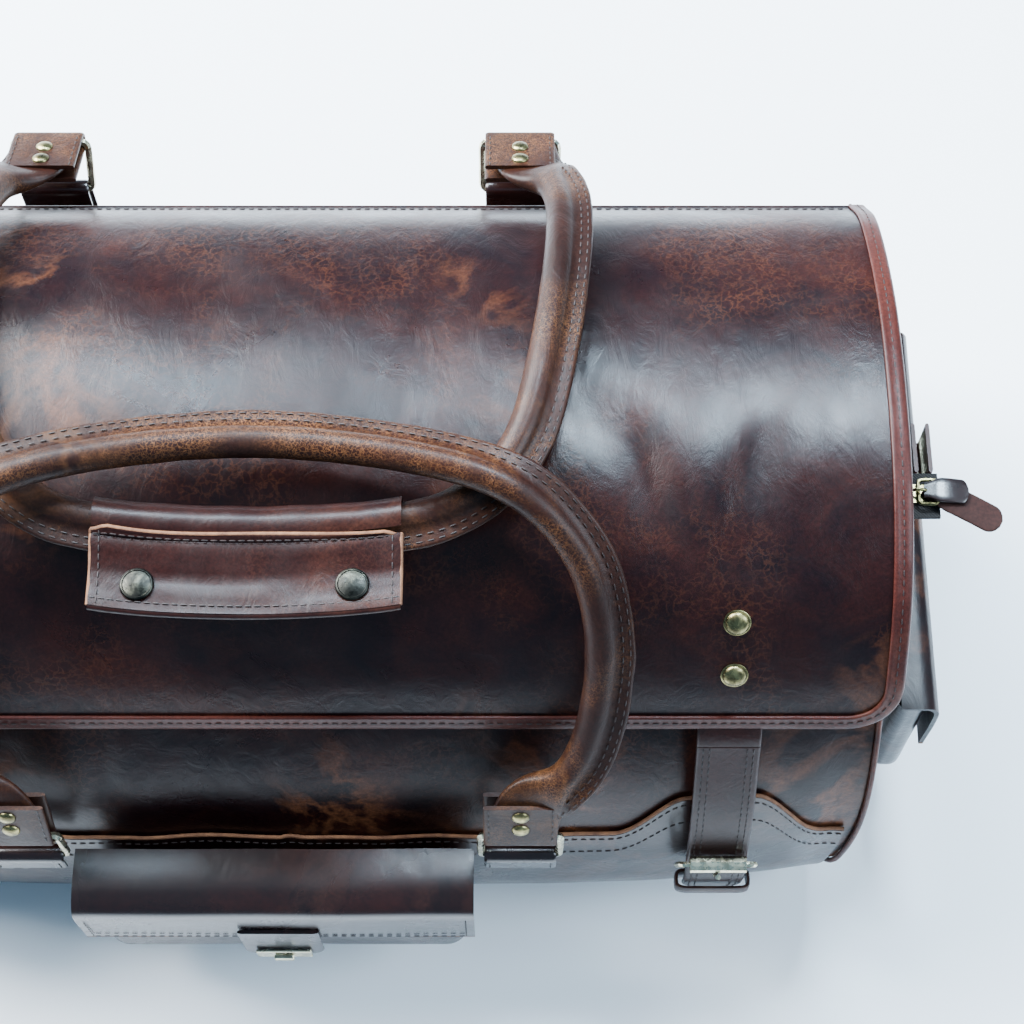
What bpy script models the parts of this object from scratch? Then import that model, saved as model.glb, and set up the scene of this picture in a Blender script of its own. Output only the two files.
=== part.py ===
"""Leather flap-over holdall: a soft body with a long top flap, two buckled straps,
two rolled handles on rectangular rings, a front pocket and two end pockets.

Metres. +X runs along the bag to the right, -Y is its front, +Z is up, and the origin
lies on the ground under the middle of the body.
"""

import math

import bmesh
import bpy
from mathutils import Matrix, Vector

# Body
HALF_LENGTH = 0.288
HALF_DEPTH = 0.172
WIDEST_Z = 0.065
BASE_HALF_FLAT = HALF_DEPTH - 0.060
FRONT_SHOULDER = (HALF_DEPTH - 0.064, 0.215)
REAR_SHOULDER = (HALF_DEPTH - 0.048, 0.218)
LEAN = 2.6
END_TAPER = 0.07
FOOT_TAPER = 0.045
FOOT_TAPER_Z = 0.15
LEATHER = 0.003
WRAP = 0.0025
LINING = 0.001
LINING_GAP = 0.0012
BOARD = 0.003
GAP = 0.0003
SKIN_GAP = HALF_LENGTH / 576
END_BULGE = 0.016
END_TOP_Z = 0.2535
PIPING_RADIUS = 0.0012

# Base wrap's upper edge
WRAP_EDGE_Z = 0.122
WRAP_RISE = 0.026
WRAP_DROP = 0.014
WRAP_REACH = 0.982
PANEL_STATIONS = (0.0, 0.42, 0.66, 0.81, 0.91, 1.0)
WRAP_STATIONS = (0.0, 0.22, 0.42, 0.54, 0.60, 0.66, 0.72, 0.81, 0.86, 0.91, 0.96, 1.0)

# Mouth and its zip
ZIP_Y = -0.2616 * HALF_DEPTH
ZIP_Z = 0.2600
ZIP_SLOT = 0.002
TAPE_WIDTH = 0.010
TAPE_THICK = 0.002
MOUTH_THICK = 0.0016
MOUTH_GAP = 0.0014
MOUTH_HALF_LENGTH = HALF_LENGTH - 0.0035
TAPE_OVERHANG = 0.026
SLIDER_X = HALF_LENGTH + 0.0125
SLIDER_SIZE = (0.013, 0.009, 0.0016)
SLIDER_CLEAR = 0.0005
BAIL_WIRE = 0.0009
BAIL_REACH = 0.0085
BAIL_WIDTH = 0.012
BAIL_CORNER = 0.002
BAIL_LIFT = 0.0008
MOUTH_BOW = 0.006
PULL_WIDTH = 0.0095
PULL_LENGTH = 0.027
PULL_THICK = 0.0013

# Flap
FLAP_HALF_LENGTH = HALF_LENGTH + 0.007
FLAP_THICK = 0.003
FLAP_SEAM = (REAR_SHOULDER[0] + 0.007, REAR_SHOULDER[1] + 0.0085)
FLAP_REAR_BOW = (HALF_DEPTH - 0.070, 0.256)
FLAP_CROWN_REAR = (0.29 * HALF_DEPTH, 0.279)
FLAP_CROWN = (0.0, 0.286)
FLAP_CROWN_FRONT = (-0.29 * HALF_DEPTH, 0.282)
FLAP_FRONT_BOW = (0.080 - HALF_DEPTH, 0.264)
FLAP_DROP = (0.051 - HALF_DEPTH, 0.234)
FLAP_EDGE = (0.034 - HALF_DEPTH, 0.203)
FLAP_CORNER = 0.025
BINDING_WIDTH = 0.009
BINDING_THICK = 0.0012
BINDING_LIP = 0.002
RIVET_RADIUS = 0.0055
RIVET_SHANK = 0.0015
RIVET_SPACING = 0.028
RIVET_FROM_EDGE = 0.044

# Straps and buckles
STRAP_X = HALF_LENGTH - 0.0715
STRAP_WIDTH = 0.030
STRAP_THICK = 0.003
STRAP_START = (FLAP_EDGE[0] - 0.0055, FLAP_EDGE[1] - 0.0075)
STRAP_BEND = (0.0095 - HALF_DEPTH, 0.158)
STRAP_ROLLER = (-HALF_DEPTH - 0.0025, 0.1235)
STRAP_OVER_BAR = (-HALF_DEPTH - 0.0092, 0.1010)
STRAP_TIP = (-HALF_DEPTH - 0.0065, 0.072)
ROLLER_CENTRE = (-HALF_DEPTH - 0.0092, 0.1235)
BUCKLE_BAR = (-HALF_DEPTH - 0.0037, 0.1010)
BUCKLE_WIRE = 0.0015
ROLLER_RADIUS = 0.0042
BUCKLE_CLEAR = 0.0020
STRAP_TIP_LENGTH = 0.012
BUCKLE_CORNER = 0.003
ROLLER_SIDE_CLEAR = 0.00475
PRONG_RADIUS = 0.0014
PRONG_SLOT = (0.0052, 0.0045, 0.002)
KEEPER_Z = 0.0885
KEEPER_THICK = 0.002
KEEPER_HEIGHT = 0.009
KEEPER_CLEAR = 0.0020

# Rings, tabs and handles
RING_X = 0.1195
RING_WIDTH = 0.038
RING_WIRE = 0.002
RING_CORNER = 0.003
TAB_WIDTH = 0.034
TAB_THICK = 0.002
FRONT_TAB_BAR = (-HALF_DEPTH - 0.0065, 0.134)
REAR_TAB_BAR = (REAR_SHOULDER[0] + 0.026, 0.214)
RING_RISE = 0.026
FRONT_RING_LEAN = 4.0
REAR_RING_LEAN = 32.0
FRONT_TAB_LEG = 0.0095
REAR_TAB_LEG = 0.026
HANDLE_RADIUS = 0.00725
WING = 0.008
WING_THICK = 0.003
END_HALF_WIDTH = 0.0155
END_HALF_THICK = 0.0016
END_LENGTH = 0.026
HANDLE_CLEAR = 0.0036
GRIP_HALF_LENGTH = 0.068
GRIP_THICK = 0.002
GRIP_CLEAR = 0.0017
GRIP_REACH = 0.041
SNAP_CAP_RADIUS = 0.0075
SNAP_CAP_X = 0.047
SNAP_CAP_REACH = 0.0295

# Front pocket
POCKET_HALF_WIDTH = 0.0945
POCKET_Y = (-HALF_DEPTH - 0.0330, -HALF_DEPTH - 0.0048)
POCKET_Z = (0.046, 0.128)
POCKET_WALL = 0.0022
POCKET_CORNER = 0.010
POCKET_FLAP_THICK = 0.0024
POCKET_FLAP_DROP_Z = 0.088
POCKET_HINGE = (-HALF_DEPTH - 0.0045, 0.1335)
TONGUE_WIDTH = 0.040
TONGUE_Z = (0.060, 0.106)
TONGUE_THICK = 0.002
LOCK_PLATE = (0.028, 0.0016, 0.011)
LOCK_BASE = (0.024, 0.0020, 0.013)
LOCK_BUTTON = (0.010, 0.0024, 0.0045)

# End pockets and end rings
END_POCKET_Y = (-0.105, 0.105)
END_POCKET_X = (HALF_LENGTH + 0.0205, HALF_LENGTH + 0.0380)
END_POCKET_Z = (0.034, 0.132)
END_POCKET_CORNER = 0.008
END_FLAP_HINGE = (HALF_LENGTH + 0.0220, 0.1385)
END_FLAP_DROP_Z = 0.082
D_RING_WIDTH = 0.034
D_RING_HEIGHT = 0.024
D_RING_WIRE = 0.0019
D_RING_BAR = (HALF_LENGTH + 0.0260, 0.198)
D_TAB_WIDTH = 0.030
D_TAB_LEG = 0.020

ROUND_STEPS = 12


# ---------------------------------------------------------------- scene and materials


def clear_scene():
    for obj in list(bpy.data.objects):
        bpy.data.objects.remove(obj, do_unlink=True)


def material(name, colour, roughness, metallic=0.0):
    made = bpy.data.materials.new(name)
    made.use_nodes = True
    shader = made.node_tree.nodes["Principled BSDF"]
    shader.inputs["Base Color"].default_value = (*colour, 1.0)
    shader.inputs["Roughness"].default_value = roughness
    shader.inputs["Metallic"].default_value = metallic
    made.diffuse_color = (*colour, 1.0)
    return made


def body_leather():
    return material("body_leather", (0.045, 0.022, 0.018), 0.42)


def trim_leather():
    return material("trim_leather", (0.17, 0.055, 0.035), 0.5)


def handle_leather():
    return material("handle_leather", (0.12, 0.05, 0.025), 0.55)


def antique_brass():
    return material("antique_brass", (0.50, 0.44, 0.26), 0.35, 1.0)


def lining_cloth():
    return material("lining_cloth", (0.16, 0.12, 0.08), 0.9)


def zip_tape():
    return material("zip_tape", (0.03, 0.02, 0.018), 0.8)


# ---------------------------------------------------------------- building blocks


def finish_object(name, mesh, surface, pivot=(0.0, 0.0, 0.0)):
    """Links the mesh as an object whose origin is its joint's axis, or the frame's origin."""
    pivot = Vector(pivot)
    mesh.transform(Matrix.Translation(-pivot))
    work = bmesh.new()
    work.from_mesh(mesh)
    bmesh.ops.recalc_face_normals(work, faces=work.faces)
    work.to_mesh(mesh)
    work.free()
    obj = bpy.data.objects.new(name, mesh)
    bpy.context.scene.collection.objects.link(obj)
    obj.location = pivot
    mesh.materials.append(surface)
    mesh.shade_smooth()
    mesh.set_sharp_from_angle(angle=math.radians(40))
    return obj


def mesh_object(name, verts, faces, surface, pivot=(0.0, 0.0, 0.0)):
    mesh = bpy.data.meshes.new(name)
    mesh.from_pydata([tuple(v) for v in verts], [], faces)
    return finish_object(name, mesh, surface, pivot)


def sheet(name, outer, inner, surface, pivot=(0.0, 0.0, 0.0)):
    """A sheet between two grids of points of the same size, closed around its rim."""
    rows, columns = len(outer), len(outer[0])
    verts = [p for row in outer for p in row] + [p for row in inner for p in row]
    far = rows * columns
    faces = []
    for i in range(rows - 1):
        for j in range(columns - 1):
            a, b = i * columns + j, i * columns + j + 1
            c, d = b + columns, a + columns
            faces.append((a, b, c, d))
            faces.append((far + d, far + c, far + b, far + a))
    rim = [j for j in range(columns)]
    rim += [i * columns + columns - 1 for i in range(1, rows)]
    rim += [(rows - 1) * columns + j for j in range(columns - 2, -1, -1)]
    rim += [i * columns for i in range(rows - 2, 0, -1)]
    for a, b in zip(rim, rim[1:] + rim[:1]):
        faces.append((b, a, far + a, far + b))
    return mesh_object(name, verts, faces, surface, pivot)


def loft(name, sections, surface, pivot=(0.0, 0.0, 0.0), ring=False):
    """Joins closed sections of equal point count, capped at both ends or closed into a ring."""
    count = len(sections[0])
    verts = [p for section in sections for p in section]
    faces = []
    pairs = list(zip(range(len(sections) - 1), range(1, len(sections))))
    if ring:
        pairs.append((len(sections) - 1, 0))
    for i, k in pairs:
        for j in range(count):
            n = (j + 1) % count
            faces.append((i * count + j, i * count + n, k * count + n, k * count + j))
    if not ring:
        faces.append(tuple(range(count - 1, -1, -1)))
        last = (len(sections) - 1) * count
        faces.append(tuple(range(last, last + count)))
    return mesh_object(name, verts, faces, surface, pivot)


def smoothstep(value):
    value = min(max(value, 0.0), 1.0)
    return value * value * (3.0 - 2.0 * value)


def spline(points, steps):
    """Points of a Catmull-Rom curve through the given points, steps to each stretch."""
    points = [Vector(p) for p in points]
    ends = [2 * points[0] - points[1]] + points + [2 * points[-1] - points[-2]]
    found = []
    for p0, p1, p2, p3 in zip(ends, ends[1:], ends[2:], ends[3:]):
        for step in range(steps):
            t = step / steps
            found.append(
                0.5
                * (
                    2 * p1
                    + (p2 - p0) * t
                    + (2 * p0 - 5 * p1 + 4 * p2 - p3) * t * t
                    + (3 * p1 - p0 - 3 * p2 + p3) * t * t * t
                )
            )
    found.append(points[-1])
    return found


def offset_line(line, distance):
    """The open (y, z) line moved to its left by a distance."""
    moved = []
    for i, point in enumerate(line):
        ahead = Vector(line[min(i + 1, len(line) - 1)]) - Vector(line[max(i - 1, 0)])
        ahead.normalize()
        moved.append((point[0] - ahead[1] * distance, point[1] + ahead[0] * distance))
    return moved


def strip(name, line, thickness, low_x, high_x, surface, pivot=(0.0, 0.0, 0.0)):
    """A leather strip whose middle follows the (y, z) line, straight along X."""
    left = offset_line(line, thickness / 2)
    right = offset_line(line, -thickness / 2)
    outer = [[Vector((x, y, z)) for x in (low_x, high_x)] for y, z in left]
    inner = [[Vector((x, y, z)) for x in (low_x, high_x)] for y, z in right]
    return sheet(name, outer, inner, surface, pivot)


def tube(name, path, radius, surface, pivot=(0.0, 0.0, 0.0), closed=False, sides=6):
    """A round wire along a path of points."""
    path = [Vector(p) for p in path]
    count = len(path)
    sections = []
    side = None
    for i, point in enumerate(path):
        if closed:
            ahead = (path[(i + 1) % count] - path[i - 1]).normalized()
        else:
            ahead = (path[min(i + 1, count - 1)] - path[max(i - 1, 0)]).normalized()
        if side is None:
            side = ahead.orthogonal()
        side = (side - ahead * side.dot(ahead)).normalized()
        across = ahead.cross(side)
        turn = [math.tau * k / sides for k in range(sides)]
        sections.append([point + radius * (math.cos(a) * side + math.sin(a) * across) for a in turn])
    return loft(name, sections, surface, pivot, ring=closed)


def rounded_rectangle(half_width, half_height, corner, steps=3):
    """(across, up) points of a rectangle with rounded corners, anticlockwise."""
    points = []
    for quarter, (sx, sy) in enumerate(((1, 1), (-1, 1), (-1, -1), (1, -1))):
        for k in range(steps + 1):
            angle = math.pi / 2 * (quarter + k / steps)
            points.append(
                (
                    sx * (half_width - corner) + corner * math.cos(angle),
                    sy * (half_height - corner) + corner * math.sin(angle),
                )
            )
    return points


def wire_ring(name, centre, along, up, width, height, corner, wire, surface, pivot):
    """A rectangular wire ring: width and height are between its wires' middle lines."""
    outline = rounded_rectangle(width / 2, height / 2, corner)
    path = [Vector(centre) + Vector(along) * a + Vector(up) * b for a, b in outline]
    return tube(name, path, wire, surface, pivot, closed=True)


def fold(name, bar, along, legs_to, width, inside, thickness, leg, surface, pivot):
    """A strip folded round a bar, with both legs running the same way."""
    bar, along, legs_to = Vector(bar), Vector(along), Vector(legs_to)
    across = along.cross(legs_to)
    half_turn = 8

    def points(radius):
        found = [bar + legs_to * leg + across * radius, bar + legs_to * leg / 2 + across * radius]
        for k in range(half_turn + 1):
            angle = math.pi * k / half_turn
            found.append(bar + radius * (across * math.cos(angle) - legs_to * math.sin(angle)))
        found.append(bar + legs_to * leg / 2 - across * radius)
        found.append(bar + legs_to * leg - across * radius)
        return found

    ends = (-width / 2, width / 2)
    outer = [[p + along * e for e in ends] for p in points(inside + thickness)]
    inner = [[p + along * e for e in ends] for p in points(inside)]
    return sheet(name, outer, inner, surface, pivot)


def box(name, low, high, surface, pivot=(0.0, 0.0, 0.0), bevel=0.0):
    low, high = Vector(low), Vector(high)
    centre, size = (low + high) / 2, high - low
    work = bmesh.new()
    bmesh.ops.create_cube(work, size=1.0)
    for vert in work.verts:
        vert.co = Vector(c * s for c, s in zip(vert.co, size)) + centre
    if bevel:
        bmesh.ops.bevel(
            work, geom=work.edges[:], offset=bevel, segments=2, profile=0.5, affect="EDGES"
        )
    mesh = bpy.data.meshes.new(name)
    work.to_mesh(mesh)
    work.free()
    return finish_object(name, mesh, surface, pivot)


def turned(name, base, axis, rings, surface, pivot=(0.0, 0.0, 0.0), sides=12):
    """A turned piece: rings are (radius, height along the axis) from its foot to its top."""
    base, axis = Vector(base), Vector(axis).normalized()
    side = axis.orthogonal().normalized()
    across = axis.cross(side)
    sections = []
    for radius, height in rings:
        turn = [math.tau * k / sides for k in range(sides)]
        sections.append(
            [base + axis * height + radius * (math.cos(a) * side + math.sin(a) * across) for a in turn]
        )
    return loft(name, sections, surface, pivot)


def cut_with(obj, cutter):
    cutter.hide_render = True
    cutter.display_type = "WIRE"
    cut = obj.modifiers.new("hole", "BOOLEAN")
    cut.operation = "DIFFERENCE"
    cut.object = cutter


# ---------------------------------------------------------------- body


def side_depth(z, shoulder):
    """Half depth of the body at a height, on the side that ends at this shoulder."""
    if z >= WIDEST_Z:
        share = (z - WIDEST_Z) / (shoulder[1] - WIDEST_Z)
        return HALF_DEPTH - (HALF_DEPTH - shoulder[0]) * share**LEAN
    share = (WIDEST_Z - z) / (WIDEST_Z - WRAP - SKIN_GAP)
    return BASE_HALF_FLAT + (HALF_DEPTH - BASE_HALF_FLAT) * math.sqrt(max(1 - share * share, 0.0))


def half_section(top_z, shoulder, upper_rows):
    """(depth, z) points of one side of the body, from a top height to the middle of its base."""
    points = []
    for k in range(upper_rows):
        z = top_z + (WIDEST_Z - top_z) * k / upper_rows
        points.append((side_depth(z, shoulder), z))
    for k in range(6):
        angle = math.pi / 2 * k / 6
        drop = (WIDEST_Z - WRAP - SKIN_GAP) * math.sin(angle)
        points.append((side_depth(WIDEST_Z - drop, shoulder), WIDEST_Z - drop))
    points.append((BASE_HALF_FLAT, WRAP + SKIN_GAP))
    points.append((BASE_HALF_FLAT / 2, WRAP + SKIN_GAP))
    return points


def section_line(front_top, rear_top, upper_rows=6):
    """(y, z) line round the body from its front top edge, under the base, to its rear one."""
    front = [(-d, z) for d, z in half_section(front_top, FRONT_SHOULDER, upper_rows)]
    rear = [(d, z) for d, z in half_section(rear_top, REAR_SHOULDER, upper_rows)]
    return front + [(0.0, WRAP + SKIN_GAP)] + rear[::-1]


def place(u, y, z):
    """The body narrows a little towards its ends and towards its foot."""
    low = max(FOOT_TAPER_Z - z, 0.0) / FOOT_TAPER_Z
    x = u * HALF_LENGTH * (1 - FOOT_TAPER * low * low)
    return Vector((x, y * (1 - END_TAPER * abs(u) ** 4), z))


def wrap_shell(name, stations, tops, inside, outside, surface, upper_rows=6):
    """A shell round the body between two offsets from its surface."""
    outer, inner = [], []
    for u in stations:
        front_top, rear_top = tops(u)
        line = section_line(front_top, rear_top, upper_rows)
        outer.append([place(u, y, z) for y, z in offset_line(line, -outside)])
        inner.append([place(u, y, z) for y, z in offset_line(line, -inside)])
    return sheet(name, outer, inner, surface)


def both_ways(shares, reach):
    """The shares of a half length, from one end through the middle to the other end."""
    return [-reach * share for share in shares[:0:-1]] + [reach * share for share in shares]


def spread(count, reach=1.0):
    return [reach * (2 * k / (count - 1) - 1) for k in range(count)]


def wrap_edge(u):
    """Height of the base wrap's upper edge: it rises behind each strap and drops at the ends."""
    x = abs(u) * HALF_LENGTH
    rise = smoothstep((x - STRAP_X + 0.052) / 0.036) * (1 - smoothstep((x - STRAP_X - 0.016) / 0.040))
    drop = smoothstep((x - STRAP_X - 0.016) / 0.050)
    return WRAP_EDGE_Z + WRAP_RISE * rise - WRAP_DROP * drop


def build_body(leather, cloth, trim):
    tops = (FRONT_SHOULDER[1], REAR_SHOULDER[1])
    wrap_shell("body_panel", both_ways(PANEL_STATIONS, 1.0), lambda u: tops, -LEATHER, 0.0, leather)
    lining_out = LEATHER + LINING_GAP
    lower = (tops[0] - 2 * LEATHER, tops[1] - 2 * LEATHER)
    wrap_shell(
        "lining", both_ways(PANEL_STATIONS, WRAP_REACH), lambda u: lower,
        -lining_out - LINING, -lining_out, cloth,
    )
    wrap_shell(
        "base_wrap",
        both_ways(WRAP_STATIONS, WRAP_REACH),
        lambda u: (wrap_edge(u), wrap_edge(u)),
        SKIN_GAP,
        SKIN_GAP + WRAP,
        trim,
        6,
    )
    board_z = WRAP + SKIN_GAP + LEATHER + LINING_GAP + LINING + SKIN_GAP
    board_x = HALF_LENGTH * (1 - FOOT_TAPER) - 0.010
    board_y = BASE_HALF_FLAT * (1 - END_TAPER) - 0.004
    box(
        "base_board",
        (-board_x, -board_y, board_z),
        (board_x, board_y, board_z + BOARD),
        cloth,
        bevel=0.001,
    )


def end_outline():
    """(y, z) outline of an end panel: the body's line closed by a low arch over the top."""
    line = section_line(FRONT_SHOULDER[1], REAR_SHOULDER[1])
    start, finish = line[-1], line[0]
    arch = []
    for k in range(1, 8):
        t = k / 8
        y = start[0] + (finish[0] - start[0]) * t
        z = start[1] + (finish[1] - start[1]) * t
        arch.append((y, z + (END_TOP_Z - start[1]) * math.sin(math.pi * t)))
    return line + arch


def build_end(side, name, leather, trim):
    outline = end_outline()
    middle = (0.0, 0.125)
    rings = (1.0, 0.8, 0.5, 0.2)

    def surface_point(y, z, share, extra):
        here = place(1.0, middle[0] + (y - middle[0]) * share, middle[1] + (z - middle[1]) * share)
        edge = place(1.0, y, z)
        x = edge.x + GAP + extra + END_BULGE * (1 - share**2)
        return Vector((side * x, here.y, here.z))

    verts, faces = [], []
    count = len(outline)
    for extra in (LEATHER, 0.0):
        for share in rings:
            verts += [surface_point(y, z, share, extra) for y, z in outline]
    layer = count * len(rings)
    for far in (0, layer):
        for r in range(len(rings) - 1):
            for j in range(count):
                n = (j + 1) % count
                a, b = far + r * count + j, far + r * count + n
                faces.append((a, b, b + count, a + count))
        last = far + (len(rings) - 1) * count
        faces.append(tuple(range(last, last + count)))
    for j in range(count):
        n = (j + 1) % count
        faces.append((j, n, layer + n, layer + j))
    mesh_object(f"end_panel_{name}", verts, faces, leather)

    line = section_line(FRONT_SHOULDER[1], REAR_SHOULDER[1])
    path = []
    for y, z in offset_line(line, -(PIPING_RADIUS + SKIN_GAP)):
        spot = place(1.0, y, z)
        path.append(Vector((side * (spot.x + LEATHER / 2), spot.y, spot.z)))
    tube(f"end_piping_{name}", path, PIPING_RADIUS, trim)


# ---------------------------------------------------------------- mouth and zip


def mouth_line(start, stop):
    """(y, z) line of a mouth panel, arched between the shoulder and the zip."""
    line = []
    for k in range(5):
        t = k / 4
        y = start[0] + (stop[0] - start[0]) * t
        z = start[1] + (stop[1] - start[1]) * t + MOUTH_BOW * math.sin(math.pi * t)
        line.append((y, z))
    return line


def build_mouth(leather, tape):
    for name, shoulder, way in (("front", FRONT_SHOULDER, -1), ("rear", REAR_SHOULDER, 1)):
        start = (way * (shoulder[0] * (1 - END_TAPER / 2) - LEATHER / 2), shoulder[1] + MOUTH_GAP)
        pivot = (0.0, start[0], start[1])
        inner_y = ZIP_Y + way * (ZIP_SLOT / 2 + TAPE_WIDTH + MOUTH_GAP)
        line = mouth_line(start, (inner_y, ZIP_Z))
        strip(
            f"mouth_{name}", line, MOUTH_THICK, -MOUTH_HALF_LENGTH, MOUTH_HALF_LENGTH, leather, pivot
        )
        near, far = sorted((ZIP_Y + way * ZIP_SLOT / 2, ZIP_Y + way * (ZIP_SLOT / 2 + TAPE_WIDTH)))
        reach = MOUTH_HALF_LENGTH + TAPE_OVERHANG
        box(
            f"zip_tape_{name}",
            (-reach, near, ZIP_Z - TAPE_THICK / 2),
            (reach, far, ZIP_Z + TAPE_THICK / 2),
            tape,
            pivot,
        )


def build_slider(metal, leather):
    length, width, plate = SLIDER_SIZE
    clear = TAPE_THICK / 2 + SLIDER_CLEAR
    neck = ZIP_SLOT / 2 - 0.0004
    half = width / 2
    outline = [
        (-half, clear + plate), (-half, clear), (-neck, clear), (-neck, -clear), (-half, -clear),
        (-half, -clear - plate), (half, -clear - plate), (half, -clear), (neck, -clear),
        (neck, clear), (half, clear), (half, clear + plate),
    ]
    ends = (SLIDER_X - length / 2, SLIDER_X + length / 2)
    sections = [[Vector((x, ZIP_Y + y, ZIP_Z + z)) for y, z in outline] for x in ends]
    loft("zip_slider", sections, metal, (SLIDER_X, ZIP_Y, ZIP_Z))

    top = ZIP_Z + clear + plate
    bar_z = top + BAIL_WIRE + BAIL_LIFT
    pivot = (SLIDER_X, ZIP_Y, bar_z)
    wire_ring(
        "zip_bail",
        (SLIDER_X + BAIL_REACH / 2, ZIP_Y, bar_z),
        (1, 0, 0),
        (0, 1, 0),
        BAIL_REACH,
        BAIL_WIDTH,
        BAIL_CORNER,
        BAIL_WIRE,
        metal,
        pivot,
    )
    fold(
        "zip_pull",
        (SLIDER_X + BAIL_REACH, ZIP_Y, bar_z),
        (0, 1, 0),
        (1, 0, 0),
        PULL_WIDTH,
        BAIL_WIRE + GAP,
        PULL_THICK,
        PULL_LENGTH,
        leather,
        pivot,
    )


# ---------------------------------------------------------------- flap


def flap_line():
    points = [
        FLAP_SEAM, FLAP_REAR_BOW, FLAP_CROWN_REAR, FLAP_CROWN,
        FLAP_CROWN_FRONT, FLAP_FRONT_BOW, FLAP_DROP, FLAP_EDGE,
    ]
    return [Vector((0.0, y, z)) for y, z in points]


class FlapSurface:
    """The flap's upper surface: distance s from the rear seam along the drape, and x across."""

    def __init__(self):
        self.points = spline(flap_line(), 8)
        self.along = [0.0]
        for a, b in zip(self.points, self.points[1:]):
            self.along.append(self.along[-1] + (b - a).length)
        self.length = self.along[-1]

    def at(self, s):
        s = min(max(s, 0.0), self.length)
        for i in range(len(self.points) - 1):
            if s <= self.along[i + 1]:
                break
        step = self.points[i + 1] - self.points[i]
        share = (s - self.along[i]) / step.length
        return self.points[i] + step * share, step.normalized()

    def point(self, x, s, lift=0.0):
        spot, ahead = self.at(s)
        up = Vector((0.0, ahead.z, -ahead.y))
        spot = spot + up * lift
        spot.x = x
        return spot


def flap_rows(surface, inset):
    """(s, half width) rows of the flap's outline, moved in by an inset, round at its front."""
    corner = FLAP_CORNER - inset
    end = surface.length - inset
    half = FLAP_HALF_LENGTH - inset
    rows = [(end - corner) * k / 16 for k in range(16)]
    found = [(s, half) for s in rows]
    for k in range(5):
        angle = math.pi / 2 * k / 4
        found.append((end - corner + corner * math.sin(angle), half - corner * (1 - math.cos(angle))))
    return found


def build_flap(leather, trim, metal):
    surface = FlapSurface()
    pivot = (0.0, FLAP_SEAM[0], FLAP_SEAM[1])
    outer, inner = [], []
    inset = BINDING_LIP + GAP
    across = spread(9)
    for s, half in flap_rows(surface, inset):
        outer.append([surface.point(half * a, s) for a in across])
        inner.append([surface.point(half * a, s, -FLAP_THICK) for a in across])
    flap = sheet("flap_panel", outer, inner, leather, pivot)

    high = GAP + BINDING_THICK
    low = -FLAP_THICK - GAP - BINDING_THICK
    channel = [
        (0.0, low), (BINDING_WIDTH, low), (BINDING_WIDTH, low + BINDING_THICK),
        (BINDING_LIP, low + BINDING_THICK), (BINDING_LIP, GAP), (BINDING_WIDTH, GAP),
        (BINDING_WIDTH, high), (0.0, high),
    ]
    sections = []
    rows = flap_rows(surface, 0.0)
    route = [(-half, s) for s, half in rows] + [(half, s) for s, half in rows[::-1]]
    for i, (x, s) in enumerate(route):
        before, after = route[max(i - 1, 0)], route[min(i + 1, len(route) - 1)]
        ahead = Vector((after[0] - before[0], after[1] - before[1])).normalized()
        inward = Vector((ahead.y, -ahead.x))
        sections.append(
            [surface.point(x + inward.x * w, s + inward.y * w, n) for w, n in channel]
        )
    loft("flap_binding", sections, trim, pivot)

    under = -FLAP_THICK - GAP
    for side, name in ((-1, "left"), (1, "right")):
        x = side * STRAP_X
        for place_name, shift in (("upper", -0.5), ("lower", 0.5)):
            s = surface.length - RIVET_FROM_EDGE + shift * RIVET_SPACING
            base = surface.point(x, s)
            axis = surface.point(x, s, 1.0) - base
            foot = under - STRAP_THICK - 0.001
            rings = (
                (RIVET_SHANK * 2.4, foot), (RIVET_SHANK * 2.4, foot + 0.001),
                (RIVET_SHANK, foot + 0.001), (RIVET_SHANK, GAP),
                (RIVET_RADIUS, GAP), (RIVET_RADIUS * 0.93, GAP + 0.0010),
                (RIVET_RADIUS * 0.66, GAP + 0.0021), (RIVET_RADIUS * 0.3, GAP + 0.0026),
            )
            turned(f"rivet_{name}_{place_name}", base, axis, rings, metal, pivot)
            hole = turned(
                f"hole_{name}_{place_name}",
                base,
                axis,
                ((RIVET_SHANK + GAP, -0.02), (RIVET_SHANK + GAP, 0.01)),
                metal,
            )
            cut_with(flap, hole)


# ---------------------------------------------------------------- straps


def strap_line():
    points = [STRAP_START, STRAP_BEND, STRAP_ROLLER, STRAP_OVER_BAR, STRAP_TIP]
    return [(p.y, p.z) for p in spline([(0.0, y, z) for y, z in points], 4)]


def strap_front_y(z):
    """The y of the strap's middle at a height."""
    line = strap_line()
    for (y0, z0), (y1, z1) in zip(line, line[1:]):
        if z1 <= z <= z0:
            return y0 + (y1 - y0) * (z0 - z) / (z0 - z1)
    return line[-1][0]


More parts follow.
